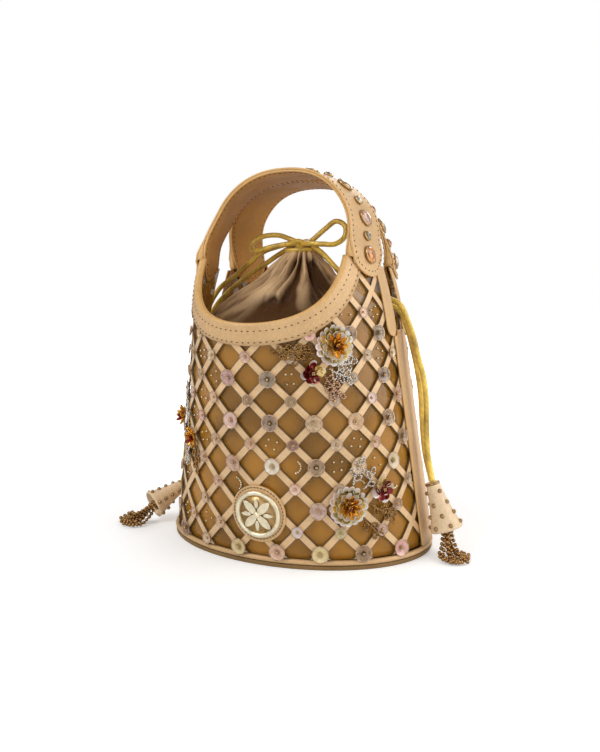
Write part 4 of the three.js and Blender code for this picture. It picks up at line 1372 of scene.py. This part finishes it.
# Sequins of the front by crossing (column, row), columns counted from the middle: 1 for a large one, and tint
FRONT_SEQUINS = {
    (-1, 10): (0, CREAM), (-2, 9): (0, CREAM), (0, 9): (0, PINK), (2, 9): (0, CLEAR), (6, 9): (0, CLEAR),
    (-3, 8): (0, CREAM), (-1, 8): (1, PINK), (1, 8): (1, GREY), (5, 8): (0, CLEAR), (7, 8): (1, GREY),
    (-2, 7): (0, CREAM), (0, 7): (0, BROWN), (2, 7): (0, BROWN), (4, 7): (0, CLEAR), (6, 7): (0, PINK),
    (-3, 6): (0, PINK), (-1, 6): (1, PINK), (1, 6): (1, GREY), (3, 6): (1, CREAM), (5, 6): (1, YELLOW),
    (7, 6): (1, BROWN), (-2, 5): (0, CREAM), (0, 5): (0, CREAM), (2, 5): (0, DARK), (4, 5): (0, CREAM),
    (6, 5): (0, ORANGE), (-3, 4): (0, PINK), (-1, 4): (1, PINK), (1, 4): (1, WHITE), (3, 4): (1, BROWN),
    (5, 4): (1, YELLOW), (7, 4): (1, CREAM), (-2, 3): (0, CREAM), (2, 3): (0, PINK), (4, 3): (0, CLEAR),
    (-3, 2): (0, CREAM), (3, 2): (1, PINK), (-4, 1): (0, CREAM), (-2, 1): (0, CREAM), (2, 1): (0, LILAC),
    (4, 1): (0, LIME), (6, 1): (0, PINK), (-3, 0): (0, CREAM), (-1, 0): (1, YELLOW), (1, 0): (1, SALMON),
    (3, 0): (1, YELLOW), (5, 0): (1, BROWN), (7, 0): (1, SALMON),
}
# Crossings of the front that a flower, the medallion or nothing covers
BARE_CROSSINGS = {
    (3, 8), (0, 3), (6, 3), (8, 1), (1, 2), (0, 1), (-1, 2), (5, 2), (-5, 2), (-4, 3), (-6, 6), (0, 2),
    (-5, 6),
}
# Tints that the other crossings draw from
SEQUIN_POOL = (CREAM, CREAM, PINK, CLEAR, PINK, YELLOW, BROWN, CREAM, SALMON, LILAC, GREY)


def sequin_shape(r):
    """Cupped sequin of radius r with a thick rolled rim."""
    outline = [
        (0, 0.0001), (r * 0.5, 0.0001), (r * 0.88, 0.0005), (r, 0.0011), (r * 0.97, 0.0014),
        (r * 0.88, 0.0010), (r * 0.7, 0.0006), (r * 0.3, 0.0005), (0, 0.0005),
    ]
    bm = lathe(outline, 20)
    for face in bm.faces:
        far = max(math.hypot(v.co.x, v.co.y) for v in face.verts)
        near = min(math.hypot(v.co.x, v.co.y) for v in face.verts)
        # Rim and centre take the darker finish, painted shade of a clear sequin's outline
        face.material_index = int(near > r * 0.86 or far < r * 0.31)
    return shape(bm)


def scattered(place, x, y, z, r):
    """Place of a ball of radius r beside another place."""
    return place @ Matrix.Translation((x, y, z)) @ Matrix.Scale(r, 4)


def net_spots(parity):
    """Spots of the net as (column, row, s, z): its crossings for 1, the middles of its diamonds for 0."""
    for i in range(-9, 10):
        for j in range(12):
            if (i + j) % 2 == parity:
                yield i, j, CROSS_S + i * PITCH_S / 2, CROSS_Z + j * PITCH_Z / 2


def by_medallion(side, s, z, reach):
    """Whether a spot lies within reach of the medallion's middle."""
    return side == "front" and math.hypot(s - MEDAL_S, z - MEDAL_Z) < reach


def has_sequin(side, i, j, s, z):
    """Whether a crossing is clear of the bands, straps, flowers and medallion."""
    if abs(s) > SIDE_S - 0.0185 or z > panel_top(s) - 0.013:
        return False
    if abs(abs(s) - STRAP_S) < 0.024 and z > TAB_Z - 0.008:
        return False
    if abs(s) > SIDE_S - V_HALF - 0.020 and z > TONGUE_LOW - 0.006:
        return False
    if side == "front" and ((i, j) in BARE_CROSSINGS or (s < -0.088 and z < 0.11)):
        return False
    return not by_medallion(side, s, z, 0.022)


def has_film_beads(side, s, z):
    """Whether the middle of a diamond has room for beads."""
    if abs(s) > SIDE_S - 0.022 or z > panel_top(s) - 0.016 or z < 0.012:
        return False
    if abs(s) > SIDE_S - V_HALF - 0.020 and z > 0.14:
        return False
    return not by_medallion(side, s, z, 0.02)


def add_sequins(side, shapes, bead, trays, rng):
    """Sequins with a centre bead on the crossings of one side, a small one on each large one."""
    clear, pearl, beads = trays
    small = shapes[0]
    for i, j, s, z in net_spots(1):
        if not has_sequin(side, i, j, s, z):
            continue
        big, tint = FRONT_SEQUINS.get((i, j), (None, None)) if side == "front" else (None, None)
        if tint is None:
            big, tint = rng.random() < 0.42, rng.choice(SEQUIN_POOL)
        tint = tuple(c * rng.uniform(0.9, 1.08) for c in tint)
        place = seat(s, z, LATTICE[1] + 0.0002, rng.uniform(0, 6))
        tilt = Matrix.Rotation(rng.uniform(-0.1, 0.1), 4, "X")
        tilt = tilt @ Matrix.Rotation(rng.uniform(-0.1, 0.1), 4, "Y")
        place = place_on(place @ tilt, side)
        tray = clear if tint[0] < 0.7 or rng.random() < 0.45 else pearl
        tray.add(shapes[int(big)], place, tint)
        if big:
            inner = (0.03, 0.02, 0.015) if tint[0] < 0.45 else tuple(c * 0.8 for c in tint)
            pearl.add(small, scattered(place, 0, 0, 0.0006, 0.5), inner)
            beads.add(bead, scattered(place, 0, 0, 0.0013, 0.00095))
        else:
            beads.add(bead, scattered(place, 0, 0, 0.0009, 0.0008))


def add_film_beads(side, bead, tray, rng):
    """Rings of three or four beads, or arcs of seven, on the film inside some of the diamonds."""
    for _, _, s, z in net_spots(0):
        if not has_film_beads(side, s, z) or rng.random() > 0.42:
            continue
        place = place_on(seat(s, z, FILM[1] + 0.0001, rng.uniform(0, 6)), side)
        count = rng.choice((3, 4, 4, 7))
        for k in range(count):
            if count == 7:
                t = 0.5 + 2.2 * k / 6
                x, y = 0.0042 * math.cos(t), 0.0042 * math.sin(t)
            else:
                t = 2 * math.pi * k / count + rng.uniform(-0.3, 0.3)
                x, y = 0.0036 * math.cos(t), 0.0040 * math.sin(t)
            tray.add(bead, scattered(place, x, y, 0.0006, 0.00074 * rng.uniform(0.85, 1.1)))


def build_sequins(sizes):
    shapes = (sequin_shape(sizes.sequin * 0.7), sequin_shape(sizes.sequin))
    centre, grain = bead_shape(2), bead_shape(1)
    clear, pearl, beads, grains = Tray(), Tray(), Tray(), Tray()
    rng = random.Random(11)
    for side in ("front", "back"):
        add_sequins(side, shapes, centre, (clear, pearl, beads), rng)
        add_film_beads(side, grain, grains, rng)
    piece("sequins_clear", clear.bm, ["clear_sequin", "sequin_rim"], tints=clear.tints)
    piece("sequins_pearl", pearl.bm, ["pearl_sequin", "sequin_rim"], tints=pearl.tints)
    piece("sequin_beads", beads.bm, ["bezel_gold"])
    piece("film_beads", grains.bm, ["pale_gold"])


def petal_shape(length, width, cup):
    """One cupped petal that starts at the origin and points along X."""
    rings = []
    for k in range(7):
        u = k / 6
        w = max(0.0003, width / 2 * math.sin(math.pi * min(0.96, 0.12 + 0.82 * u)) ** 0.8)
        ring = []
        for m in range(9):
            v = -1 + m / 4
            rise = cup * (v * v * 0.7 + 0.35 * u * u)
            ring.append(Vector((length * u + 0.0004 * (1 - v * v) * u, w * v, rise)))
        ring += [p + Vector((0, 0, -0.00045)) for p in reversed(ring)]
        rings.append(ring)
    return shape(loft(rings))


def add_ring(tray, petal, place, rng, count, start, radius, lift, lean, tints, size, twist=0.3):
    """Ring of petals round a flower, each leaning up from the wall and twisted over the next."""
    for k in range(count):
        t = start + 2 * math.pi * (k + rng.uniform(-0.12, 0.12)) / count
        local = Matrix.Rotation(t, 4, "Z") @ Matrix.Translation((radius, 0, lift))
        local = local @ Matrix.Rotation(-lean + rng.uniform(-0.2, 0.2), 4, "Y")
        local = local @ Matrix.Rotation(twist, 4, "X")
        shade = rng.uniform(0.86, 1.08)
        tint = tints[int(k * len(tints) / count)]
        scale = Matrix.Scale(size * rng.uniform(0.93, 1.06), 4)
        tray.add(petal, place @ local @ scale, tuple(c * shade for c in tint))


AMBER, MAROON, IVORY, PALE = (0.8, 0.36, 0.02), (0.26, 0.012, 0.01), (0.96, 0.86, 0.56), (1.0, 0.97, 0.92)
# The olive of the heart ring is a darkened copy of GILT, painted shade between the mirror petals
SHADED_GILT, GILT, BLUSH = (0.5, 0.38, 0.12), (0.9, 0.66, 0.22), (1.0, 0.86, 0.84)
HEART_GILT_AND_SHADE = (SHADED_GILT, GILT, SHADED_GILT, GILT)
HEART_PALE = (PALE, IVORY, WHITE, IVORY)
HEART_RED = (MAROON, MAROON, GILT, MAROON)
# Flowers: place on the wall (s, z) and radius
BIG_FLOWERS = ((0.0557, 0.143, 0.0134), (0.0589, 0.0411, 0.0130))
SMALL_FLOWERS = ((0.0405, 0.126, 0.0086), (0.083, 0.0496, 0.0088))
LEFT_FLOWERS = ((-0.081, 0.088, 0.0076), (-0.0545, 0.0776, 0.0078))
# Sprigs: distance from bead to bead, then start (s, z) in mm, heading in degrees, length in mm, bend in
# degrees, metal and leaves
SPRIG_STEP = 0.0013
SPRIGS = (
    (42, 138, 168, 22, 20, "bronze_bead", 6), (40, 141, 185, 15, 20, "bronze_bead", 4),
    (40, 135, 190, 16, -25, "bronze_bead", 4), (55, 131, -10, 13, 30, "silver_bead", 4),
    (52, 128, -35, 15, 25, "silver_bead", 5), (53, 128, -80, 15, -25, "rose_bead", 4),
    (48, 124, -60, 16, 20, "rose_bead", 4), (63, 55, 75, 14, -25, "silver_bead", 4),
    (70, 51, 40, 12, 30, "silver_bead", 3), (74, 41, -40, 17, 25, "bronze_bead", 4),
    (68, 33, -55, 16, 20, "bronze_bead", 4), (82, 42, -50, 13, -20, "bronze_bead", 3),
    (-78, 95, 60, 14, 30, "silver_bead", 3), (-78, 82, -60, 15, 25, "silver_bead", 4),
    (-66, 84, 120, 13, -30, "silver_bead", 3), (-52, 72, -100, 15, 25, "bronze_bead", 4),
    (-62, 70, -130, 12, 25, "silver_bead", 3),
)


def add_heart(tray, bead, place, reach, lift, r):
    """Four beads in the middle of a flower."""
    for k in range(4):
        x, y = reach * math.cos(k * 1.57), reach * math.sin(k * 1.57)
        tray.add(bead, scattered(place, x, y, lift, r))


def build_flowers():
    rng = random.Random(5)
    petals, foil, beads = Tray(), Tray(), Tray()
    bead = bead_shape(1)
    narrow = petal_shape(0.0062, 0.0038, 0.0012)
    cup = [(0, 0.0001), (0.5, 0.08), (0.9, 0.3), (1.0, 0.42), (0.93, 0.42), (0.5, 0.2), (0, 0.14)]
    disc = shape(lathe(cup, 14))
    for s, z, r in BIG_FLOWERS:
        place = seat(s, z, LATTICE[1] + 0.0003, 0.3)
        add_ring(petals, disc, place, rng, 17, 0.0, r - 0.0024, 0.0006, 0.1, (PALE, BLUSH, PALE), 0.0025)
        # Heart ring of gilt petals and darker copies of them as painted shade
        add_ring(foil, disc, place, rng, 14, 0.2, r - 0.0044, 0.0012, 0.25, HEART_GILT_AND_SHADE, 0.0027)
        add_ring(petals, disc, place, rng, 11, 0.2, r - 0.0058, 0.0021, 0.5, HEART_PALE, 0.0025)
        add_ring(foil, narrow, place, rng, 9, 0.4, 0.0032, 0.0022, 0.5, (AMBER, GILT, AMBER), 0.9)
        add_ring(foil, narrow, place, rng, 7, 0.1, 0.0016, 0.0028, 0.85, (AMBER,), 0.85)
        add_ring(foil, narrow, place, rng, 4, 0.7, 0.0004, 0.0030, 1.2, (AMBER, MAROON), 0.7, 0.4)
        add_heart(beads, bead, place, 0.0009, 0.0062, 0.0006)
    for (s, z, r), turn in zip(SMALL_FLOWERS, (2.4, -2.2)):
        place = seat(s, z, LATTICE[1] + 0.0003, turn)
        outer = place @ Matrix.Rotation(2.0, 4, "Z")
        add_ring(petals, disc, outer, rng, 4, 0.5, r - 0.0026, 0.0006, 0.2, (IVORY, PALE), 0.0028)
        add_ring(foil, disc, place, rng, 7, 0.2, r - 0.0036, 0.0014, 0.5, HEART_RED, 0.0027)
        add_ring(foil, disc, place, rng, 5, 0.0, 0.0017, 0.0024, 0.9, (MAROON,), 0.0022)
        add_heart(beads, bead, place, 0.0008, 0.0042, 0.0007)
    for s, z, r in LEFT_FLOWERS:
        place = seat(s, z, LATTICE[1] + 0.0003, 0.9)
        add_ring(foil, narrow, place, rng, 9, 0.0, r - 0.0055, 0.0008, 0.55, (AMBER,), 0.95)
        add_ring(foil, narrow, place, rng, 6, 0.3, 0.0008, 0.0018, 1.0, (AMBER, MAROON), 0.9)
        add_ring(petals, disc, place, rng, 6, 0.3, r - 0.0026, 0.0006, 0.2, (IVORY,), 0.0020, 0.25)
    nodes = ["flower_upper_big", "flower_upper_small", "flower_lower_big", "flower_lower_small"]
    nodes += ["flower_left_upper", "flower_left_lower"]
    piece("flower_petals", petals.bm, ["pearl_sequin"], nodes, tints=petals.tints)
    piece("flower_hearts", foil.bm, ["foil_sequin"], tints=foil.tints)
    piece("flower_beads", beads.bm, ["bezel_gold"])
    build_sprigs(bead, rng)


def leaf_spots(x, y, way):
    """Spots of the beads of one leaf, a narrow loop that points along way."""
    spots = []
    for m in range(10):
        t = 2 * math.pi * m / 10
        u, v = 0.0027 - 0.0026 * math.cos(t), 0.0014 * math.sin(t)
        spots.append((x + u * math.cos(way) - v * math.sin(way), y + u * math.sin(way) + v * math.cos(way)))
    return spots


def sprig_spots(s, z, heading, reach, bend, leaves):
    """Spots of the beads of one sprig: a bent stem with a leaf at its tip and to each side in turn."""
    steps = max(4, round(reach / 1000 / SPRIG_STEP))
    gap = max(1, steps // leaves)
    x, y, angle = s / 1000, z / 1000, math.radians(heading)
    spots = []
    for k in range(steps):
        spots.append((x, y))
        if k == steps - 1:
            spots += leaf_spots(x, y, angle)
        elif k and k % gap == 0:
            spots += leaf_spots(x, y, angle + (-0.9 if (k // gap) % 2 else 0.9))
        x += SPRIG_STEP * math.cos(angle)
        y += SPRIG_STEP * math.sin(angle)
        angle += math.radians(bend) / steps
    return spots


def build_sprigs(bead, rng):
    """Bead sprigs round the flowers, left out where the rim band lies."""
    trays = {"bronze_bead": Tray(), "silver_bead": Tray(), "rose_bead": Tray()}
    for s, z, heading, reach, bend, metal, leaves in SPRIGS:
        for x, y in sprig_spots(s, z, heading, reach, bend, leaves):
            if y > panel_top(x) - 0.0138:
                continue
            place = seat(x, y, LATTICE[1] + 0.0006 + rng.uniform(0, 0.0007))
            trays[metal].add(bead, place @ Matrix.Scale(0.00082 * rng.uniform(0.85, 1.15), 4))
    for metal, tray in trays.items():
        piece(f"sprigs_{metal}", tray.bm, [metal])


def medal_point(co, off):
    """A flat shape's point laid on the curved wall round the medallion's middle."""
    place = seat(MEDAL_S + co.x, MEDAL_Z + co.y)
    return place.translation + place.to_3x3().col[2] * (off + co.z)


def build_patch():
    """Round leather patch with a bevelled edge, curved with the wall."""
    bm = bmesh.new()
    bmesh.ops.create_circle(bm, cap_ends=True, segments=72, radius=PATCH_R)
    thicken(bm, 0.0013)
    rim = []
    for edge in bm.edges:
        on_top = min(v.co.z for v in edge.verts) > 0.001
        if on_top and len({f.normal.z > 0.5 for f in edge.link_faces}) == 2:
            rim.append(edge)
    bmesh.ops.bevel(bm, geom=rim, offset=0.0004, segments=2, affect="EDGES", profile=0.5, material=-1)
    for face in [f for f in bm.faces if len(f.verts) > 8]:
        bmesh.ops.poke(bm, faces=[face])
    top_edges = [e for e in bm.edges if any(f.normal.z > 0.9 for f in e.link_faces)]
    bmesh.ops.subdivide_edges(bm, edges=top_edges, cuts=3, use_grid_fill=True)
    for vert in bm.verts:
        vert.co = medal_point(vert.co, LATTICE[1] + 0.00008)
    soften(bm)
    piece("medallion_leather", bm, ["pearl_leather"], ["medallion_patch"])


def build_badge():
    """Metal ring with a darker plate and a flower of eight petals."""
    ring = [
        (0.0121, 0.0), (0.015, 0.0), (0.0154, 0.0006), (0.0151, 0.0016), (0.0139, 0.0021), (0.0127, 0.0016),
        (0.0123, 0.0006), (0.0121, 0.0),
    ]
    plate = [(0, 0), (0.0126, 0), (0.0126, 0.0006), (0, 0.0006)]
    badge = Tray()
    badge.add(shape(lathe(ring, 64)), Matrix.Identity(4))
    badge.add(shape(lathe(plate, 64)), Matrix.Identity(4), finish=1)
    wide, narrow = petal_shape(0.0105, 0.0052, 0.0004), petal_shape(0.0062, 0.0026, 0.0003)
    for k in range(4):
        turn = Matrix.Rotation(math.pi / 2 * k + math.pi / 4, 4, "Z")
        badge.add(wide, turn @ Matrix.Translation((0.0012, 0, 0.0016)) @ Matrix.Rotation(0.03, 4, "Y"))
        turn = Matrix.Rotation(math.pi / 2 * k, 4, "Z")
        badge.add(narrow, turn @ Matrix.Translation((0.0042, 0, 0.0014)))
    dome = Matrix.Diagonal((0.0022, 0.0022, 0.0018, 1))
    badge.add(bead_shape(2), Matrix.Translation((0, 0, 0.0012)) @ dome)
    for vert in badge.bm.verts:
        vert.co = medal_point(vert.co, LATTICE[1] + 0.0015)
    piece("medallion_metal", badge.bm, ["pale_gold", "bezel_gold"], ["medallion_badge"])


def build_medallion(sizes):
    build_patch()
    stitches = Tray()
    stitch = stitch_shape(0.0021, sizes.thread)
    for k in range(46):
        t = 2 * math.pi * k / 46
        s, z = MEDAL_S + PATCH_STITCH_R * math.cos(t), MEDAL_Z + PATCH_STITCH_R * math.sin(t)
        stitches.add(stitch, seat(s, z, LATTICE[1] + 0.00142, t + math.pi / 2))
    piece("medallion_stitching", stitches.bm, ["thread"])
    build_badge()


# Stage

# Camera, in metres: where it stands, what it is turned to, its lens in mm and the picture's shift
CAMERA_PLACE, CAMERA_AIM = (0.1933, -0.4820, 0.1731), (0, 0, 0.20994)
CAMERA_LENS, CAMERA_SHIFT = 40.78, -0.2107
LAMP_AIM = (0, 0, 0.12)
# Lamps: place, size, share of the key light's power, colour
LAMPS = {
    "key": ((-0.75, -1.05, 1.25), 0.9, 1.0, (1.0, 0.98, 0.94)),
    "side": ((1.3, 0.15, 0.6), 1.5, 1.3, (1.0, 0.98, 0.95)),
    "front": ((0.35, -1.5, 0.35), 0.8, 0.22, (1.0, 1.0, 1.0)),
    "back": ((-0.2, 1.3, 1.0), 1.0, 0.5, (1.0, 1.0, 1.0)),
}


def turned_to(place, aim):
    """Rotation that points a camera or lamp from a place to an aim."""
    return (Vector(aim) - Vector(place)).to_track_quat("-Z", "Y").to_euler()


def build_camera():
    scene = bpy.context.scene
    camera = bpy.data.objects.new("camera", bpy.data.cameras.new("camera"))
    scene.collection.objects.link(camera)
    camera.location = CAMERA_PLACE
    camera.rotation_euler = turned_to(CAMERA_PLACE, CAMERA_AIM)
    camera.data.sensor_fit = "HORIZONTAL"
    camera.data.sensor_width = 36
    camera.data.lens = CAMERA_LENS
    camera.data.shift_y = CAMERA_SHIFT
    scene.camera = camera


def build_world(fill):
    """Even light from all round, which the camera sees as white, also through clear film."""
    world = bpy.data.worlds.new("studio")
    world.use_nodes = True
    bpy.context.scene.world = world
    tree = world.node_tree
    shade = tree.nodes["Background"]
    shade.inputs["Color"].default_value = (1.0, 0.98, 0.95, 1)
    shade.inputs["Strength"].default_value = fill
    white = tree.nodes.new("ShaderNodeBackground")
    white.inputs["Color"].default_value = (1, 1, 1, 1)
    white.inputs["Strength"].default_value = 1.0
    ray = tree.nodes.new("ShaderNodeLightPath")
    seen = tree.nodes.new("ShaderNodeMath")
    seen.operation = "MAXIMUM"
    tree.links.new(ray.outputs["Is Camera Ray"], seen.inputs[0])
    tree.links.new(ray.outputs["Is Transmission Ray"], seen.inputs[1])
    mix = tree.nodes.new("ShaderNodeMixShader")
    tree.links.new(seen.outputs[0], mix.inputs[0])
    tree.links.new(shade.outputs[0], mix.inputs[1])
    tree.links.new(white.outputs[0], mix.inputs[2])
    tree.links.new(mix.outputs[0], tree.nodes["World Output"].inputs["Surface"])


def build_floor(least):
    """Pale floor that the camera sees fade to white away from the bag."""
    bm = bmesh.new()
    bmesh.ops.create_grid(bm, x_segments=1, y_segments=1, size=6)
    mesh = bpy.data.meshes.new("floor")
    bm.to_mesh(mesh)
    bm.free()
    floor = bpy.data.objects.new("floor", mesh)
    bpy.context.scene.collection.objects.link(floor)
    look = Look("floor", 0.9, Specular_IOR_Level=0.1)
    look.shader.inputs["Base Color"].default_value = (0.85, 0.868, 0.895, 1)
    look.shader.inputs["Emission Color"].default_value = (1, 1, 1, 1)
    far = look.node("ShaderNodeVectorMath", {0: look.coords()}, operation="LENGTH").outputs["Value"]
    inputs = {"Value": far, "From Min": 0.14, "From Max": 0.42, "To Min": least, "To Max": 1.0}
    white = look.node("ShaderNodeMapRange", inputs, interpolation_type="SMOOTHSTEP").outputs["Result"]
    ray = look.node("ShaderNodeLightPath").outputs["Is Camera Ray"]
    glow = look.node("ShaderNodeMath", {0: ray, 1: white}, operation="MULTIPLY").outputs[0]
    look.join(glow, "Emission Strength")
    mesh.materials.append(look.material)


def build_lamps(key):
    for name, (place, size, share, colour) in LAMPS.items():
        lamp = bpy.data.objects.new(name, bpy.data.lights.new(name, "AREA"))
        bpy.context.scene.collection.objects.link(lamp)
        lamp.data.size = size
        lamp.data.energy = key * share
        lamp.data.color = colour
        lamp.location = place
        lamp.rotation_euler = turned_to(place, LAMP_AIM)


def build_stage(sizes):
    build_camera()
    build_world(sizes.fill)
    build_floor(sizes.floor_glow)
    build_lamps(sizes.key)
    bpy.context.scene.view_settings.view_transform = "Standard"


# Add-on


def length(label, text, default, low, high):
    """Property for a length in metres."""
    return bpy.props.FloatProperty(
        name=label, description=text, default=default, min=low, max=high, unit="LENGTH", precision=4,
    )


def colour(label, text, rgb):
    """Property for a colour given in display values."""
    return bpy.props.FloatVectorProperty(
        name=label, description=text, default=srgb(*rgb), min=0, max=1, size=3, subtype="COLOR",
    )


class PotliSizes(bpy.types.PropertyGroup):
    """Sizes of the bag's details, and the light on it"""

    strip: length("Lattice strip", "Width of a lattice strip", 0.005, 0.002, 0.009)
    cord: length("Cord", "Diameter of the drawstring", 0.004, 0.002, 0.006)
    sequin: length("Sequin", "Radius of a large sequin", 0.0056, 0.003, 0.0065)
    stone: length("Stone", "Width of a large stone on the handles", 0.0128, 0.006, 0.016)
    thread: length("Thread", "Thickness of the stitching thread", 0.0008, 0.0003, 0.0012)
    stitch_length: length("Stitch", "Length of one stitch", 0.0018, 0.001, 0.005)
    stitch_pitch: length("Stitch pitch", "Distance from stitch to stitch", 0.0041, 0.002, 0.008)
    fill: bpy.props.FloatProperty(
        name="Fill light", description="Strength of the light from all round", default=0.46, min=0, max=2,
    )
    key: bpy.props.FloatProperty(
        name="Key light", description="Power of the main lamp", default=12.5, min=0, max=100, unit="POWER",
    )
    floor_glow: bpy.props.FloatProperty(
        name="Floor white", description="How much the floor is lifted to white", default=0.26, min=0, max=1,
    )


class PotliColours(bpy.types.PropertyGroup):
    """Colours of the bag's materials"""

    leather: colour("Leather", "Pearl leather of the straps and bands", (213, 175, 126))
    edge: colour("Edge paint", "Painted edges", (218, 172, 106))
    lining: colour("Lining", "Inner side of the handles", (196, 140, 62))
    cone: colour("Cones", "Leather of the tassel cones", (238, 210, 172))
    lattice: colour("Lattice", "Leather strips of the lattice", (226, 190, 144))
    film: colour("Film", "Tint of the clear film", (188, 131, 46))
    pouch: colour("Pouch", "Satin of the pouch", (212, 178, 136))
    cord: colour("Cord", "Satin of the drawstring", (242, 196, 84))
    thread: colour("Thread", "Stitching thread", (74, 46, 24))


class POTLI_OT_stage(bpy.types.Operator):
    """Set up the camera, lamps and floor"""

    bl_idname = "potli.stage"
    bl_label = "Stage"
    bl_options = {"REGISTER", "UNDO"}

    def execute(self, context):
        build_stage(context.scene.potli_sizes)
        return {"FINISHED"}


class POTLI_OT_finishes(bpy.types.Operator):
    """Make the materials"""

    bl_idname = "potli.finishes"
    bl_label = "Finishes"
    bl_options = {"REGISTER", "UNDO"}

    def execute(self, context):
        make_finishes(context.scene.potli_colours)
        return {"FINISHED"}


class POTLI_OT_tassels(bpy.types.Operator):
    """Add the leather cones and bead strands"""

    bl_idname = "potli.tassels"
    bl_label = "Tassels"
    bl_options = {"REGISTER", "UNDO"}

    def execute(self, context):
        build_tassels()
        return {"FINISHED"}


class POTLI_OT_cords(bpy.types.Operator):
    """Add the drawstring, its bow and knot"""

    bl_idname = "potli.cords"
    bl_label = "Drawstring"
    bl_options = {"REGISTER", "UNDO"}

    def execute(self, context):
        build_cords(context.scene.potli_sizes)
        return {"FINISHED"}


class POTLI_OT_pouch(bpy.types.Operator):
    """Add the gathered satin pouch"""

    bl_idname = "potli.pouch"
    bl_label = "Pouch"
    bl_options = {"REGISTER", "UNDO"}

    def execute(self, context):
        build_pouch()
        return {"FINISHED"}


class POTLI_OT_film(bpy.types.Operator):
    """Add the clear film panels"""

    bl_idname = "potli.film"
    bl_label = "Film panels"
    bl_options = {"REGISTER", "UNDO"}

    def execute(self, context):
        build_film()
        return {"FINISHED"}


class POTLI_OT_lattice(bpy.types.Operator):
    """Add the leather lattice panels"""

    bl_idname = "potli.lattice"
    bl_label = "Lattice"
    bl_options = {"REGISTER", "UNDO"}

    def execute(self, context):
        build_lattice(context.scene.potli_sizes)
        return {"FINISHED"}


class POTLI_OT_trim(bpy.types.Operator):
    """Add the rim bindings, side bands and tongues with their stitching"""

    bl_idname = "potli.trim"
    bl_label = "Bands and tongues"
    bl_options = {"REGISTER", "UNDO"}

    def execute(self, context):
        build_trim(context.scene.potli_sizes)
        return {"FINISHED"}


class POTLI_OT_base(bpy.types.Operator):
    """Add the base sole and its welt"""

    bl_idname = "potli.base"
    bl_label = "Base"
    bl_options = {"REGISTER", "UNDO"}

    def execute(self, context):
        build_base()
        return {"FINISHED"}


class POTLI_OT_handles(bpy.types.Operator):
    """Add the two handles with their stitching"""

    bl_idname = "potli.handles"
    bl_label = "Handles"
    bl_options = {"REGISTER", "UNDO"}

    def execute(self, context):
        build_handles(context.scene.potli_sizes)
        return {"FINISHED"}


class POTLI_OT_stones(bpy.types.Operator):
    """Add the stones along the handles"""

    bl_idname = "potli.stones"
    bl_label = "Stones"
    bl_options = {"REGISTER", "UNDO"}

    def execute(self, context):
        build_stones(context.scene.potli_sizes)
        return {"FINISHED"}


class POTLI_OT_sequins(bpy.types.Operator):
    """Add the sequins and the small bead clusters"""

    bl_idname = "potli.sequins"
    bl_label = "Sequins"
    bl_options = {"REGISTER", "UNDO"}

    def execute(self, context):
        build_sequins(context.scene.potli_sizes)
        return {"FINISHED"}


class POTLI_OT_flowers(bpy.types.Operator):
    """Add the sequin flowers and their sprigs"""

    bl_idname = "potli.flowers"
    bl_label = "Flowers"
    bl_options = {"REGISTER", "UNDO"}

    def execute(self, context):
        build_flowers()
        return {"FINISHED"}


class POTLI_OT_medallion(bpy.types.Operator):
    """Add the round medallion"""

    bl_idname = "potli.medallion"
    bl_label = "Medallion"
    bl_options = {"REGISTER", "UNDO"}

    def execute(self, context):
        build_medallion(context.scene.potli_sizes)
        return {"FINISHED"}


OPERATORS = (
    POTLI_OT_stage, POTLI_OT_finishes, POTLI_OT_tassels, POTLI_OT_cords, POTLI_OT_pouch, POTLI_OT_film,
    POTLI_OT_lattice, POTLI_OT_trim, POTLI_OT_base, POTLI_OT_handles, POTLI_OT_stones, POTLI_OT_sequins,
    POTLI_OT_flowers, POTLI_OT_medallion,
)


class POTLI_PT_panel(bpy.types.Panel):
    """Sizes, colours and pieces of the bag"""

    bl_idname = "POTLI_PT_panel"
    bl_label = "Potli Bag"
    bl_space_type = "VIEW_3D"
    bl_region_type = "UI"
    bl_category = "Potli"

    def draw(self, context):
        layout = self.layout
        for group in (context.scene.potli_sizes, context.scene.potli_colours):
            for key in group.__annotations__:
                layout.prop(group, key)
        for operator in OPERATORS:
            layout.operator(operator.bl_idname)


CLASSES = (PotliSizes, PotliColours, *OPERATORS, POTLI_PT_panel)


def register():
    for cls in CLASSES:
        bpy.utils.register_class(cls)
    bpy.types.Scene.potli_sizes = bpy.props.PointerProperty(type=PotliSizes)
    bpy.types.Scene.potli_colours = bpy.props.PointerProperty(type=PotliColours)


def unregister():
    del bpy.types.Scene.potli_colours
    del bpy.types.Scene.potli_sizes
    for cls in reversed(CLASSES):
        bpy.utils.unregister_class(cls)


def main():
    """Builds the stage and every piece."""
    register()
    bpy.ops.potli.stage()
    bpy.ops.potli.finishes()
    bpy.ops.potli.tassels()
    bpy.ops.potli.cords()
    bpy.ops.potli.pouch()
    bpy.ops.potli.film()
    bpy.ops.potli.lattice()
    bpy.ops.potli.trim()
    bpy.ops.potli.base()
    bpy.ops.potli.handles()
    bpy.ops.potli.stones()
    bpy.ops.potli.sequins()
    bpy.ops.potli.flowers()
    bpy.ops.potli.medallion()


if __name__ == "__main__":
    main()
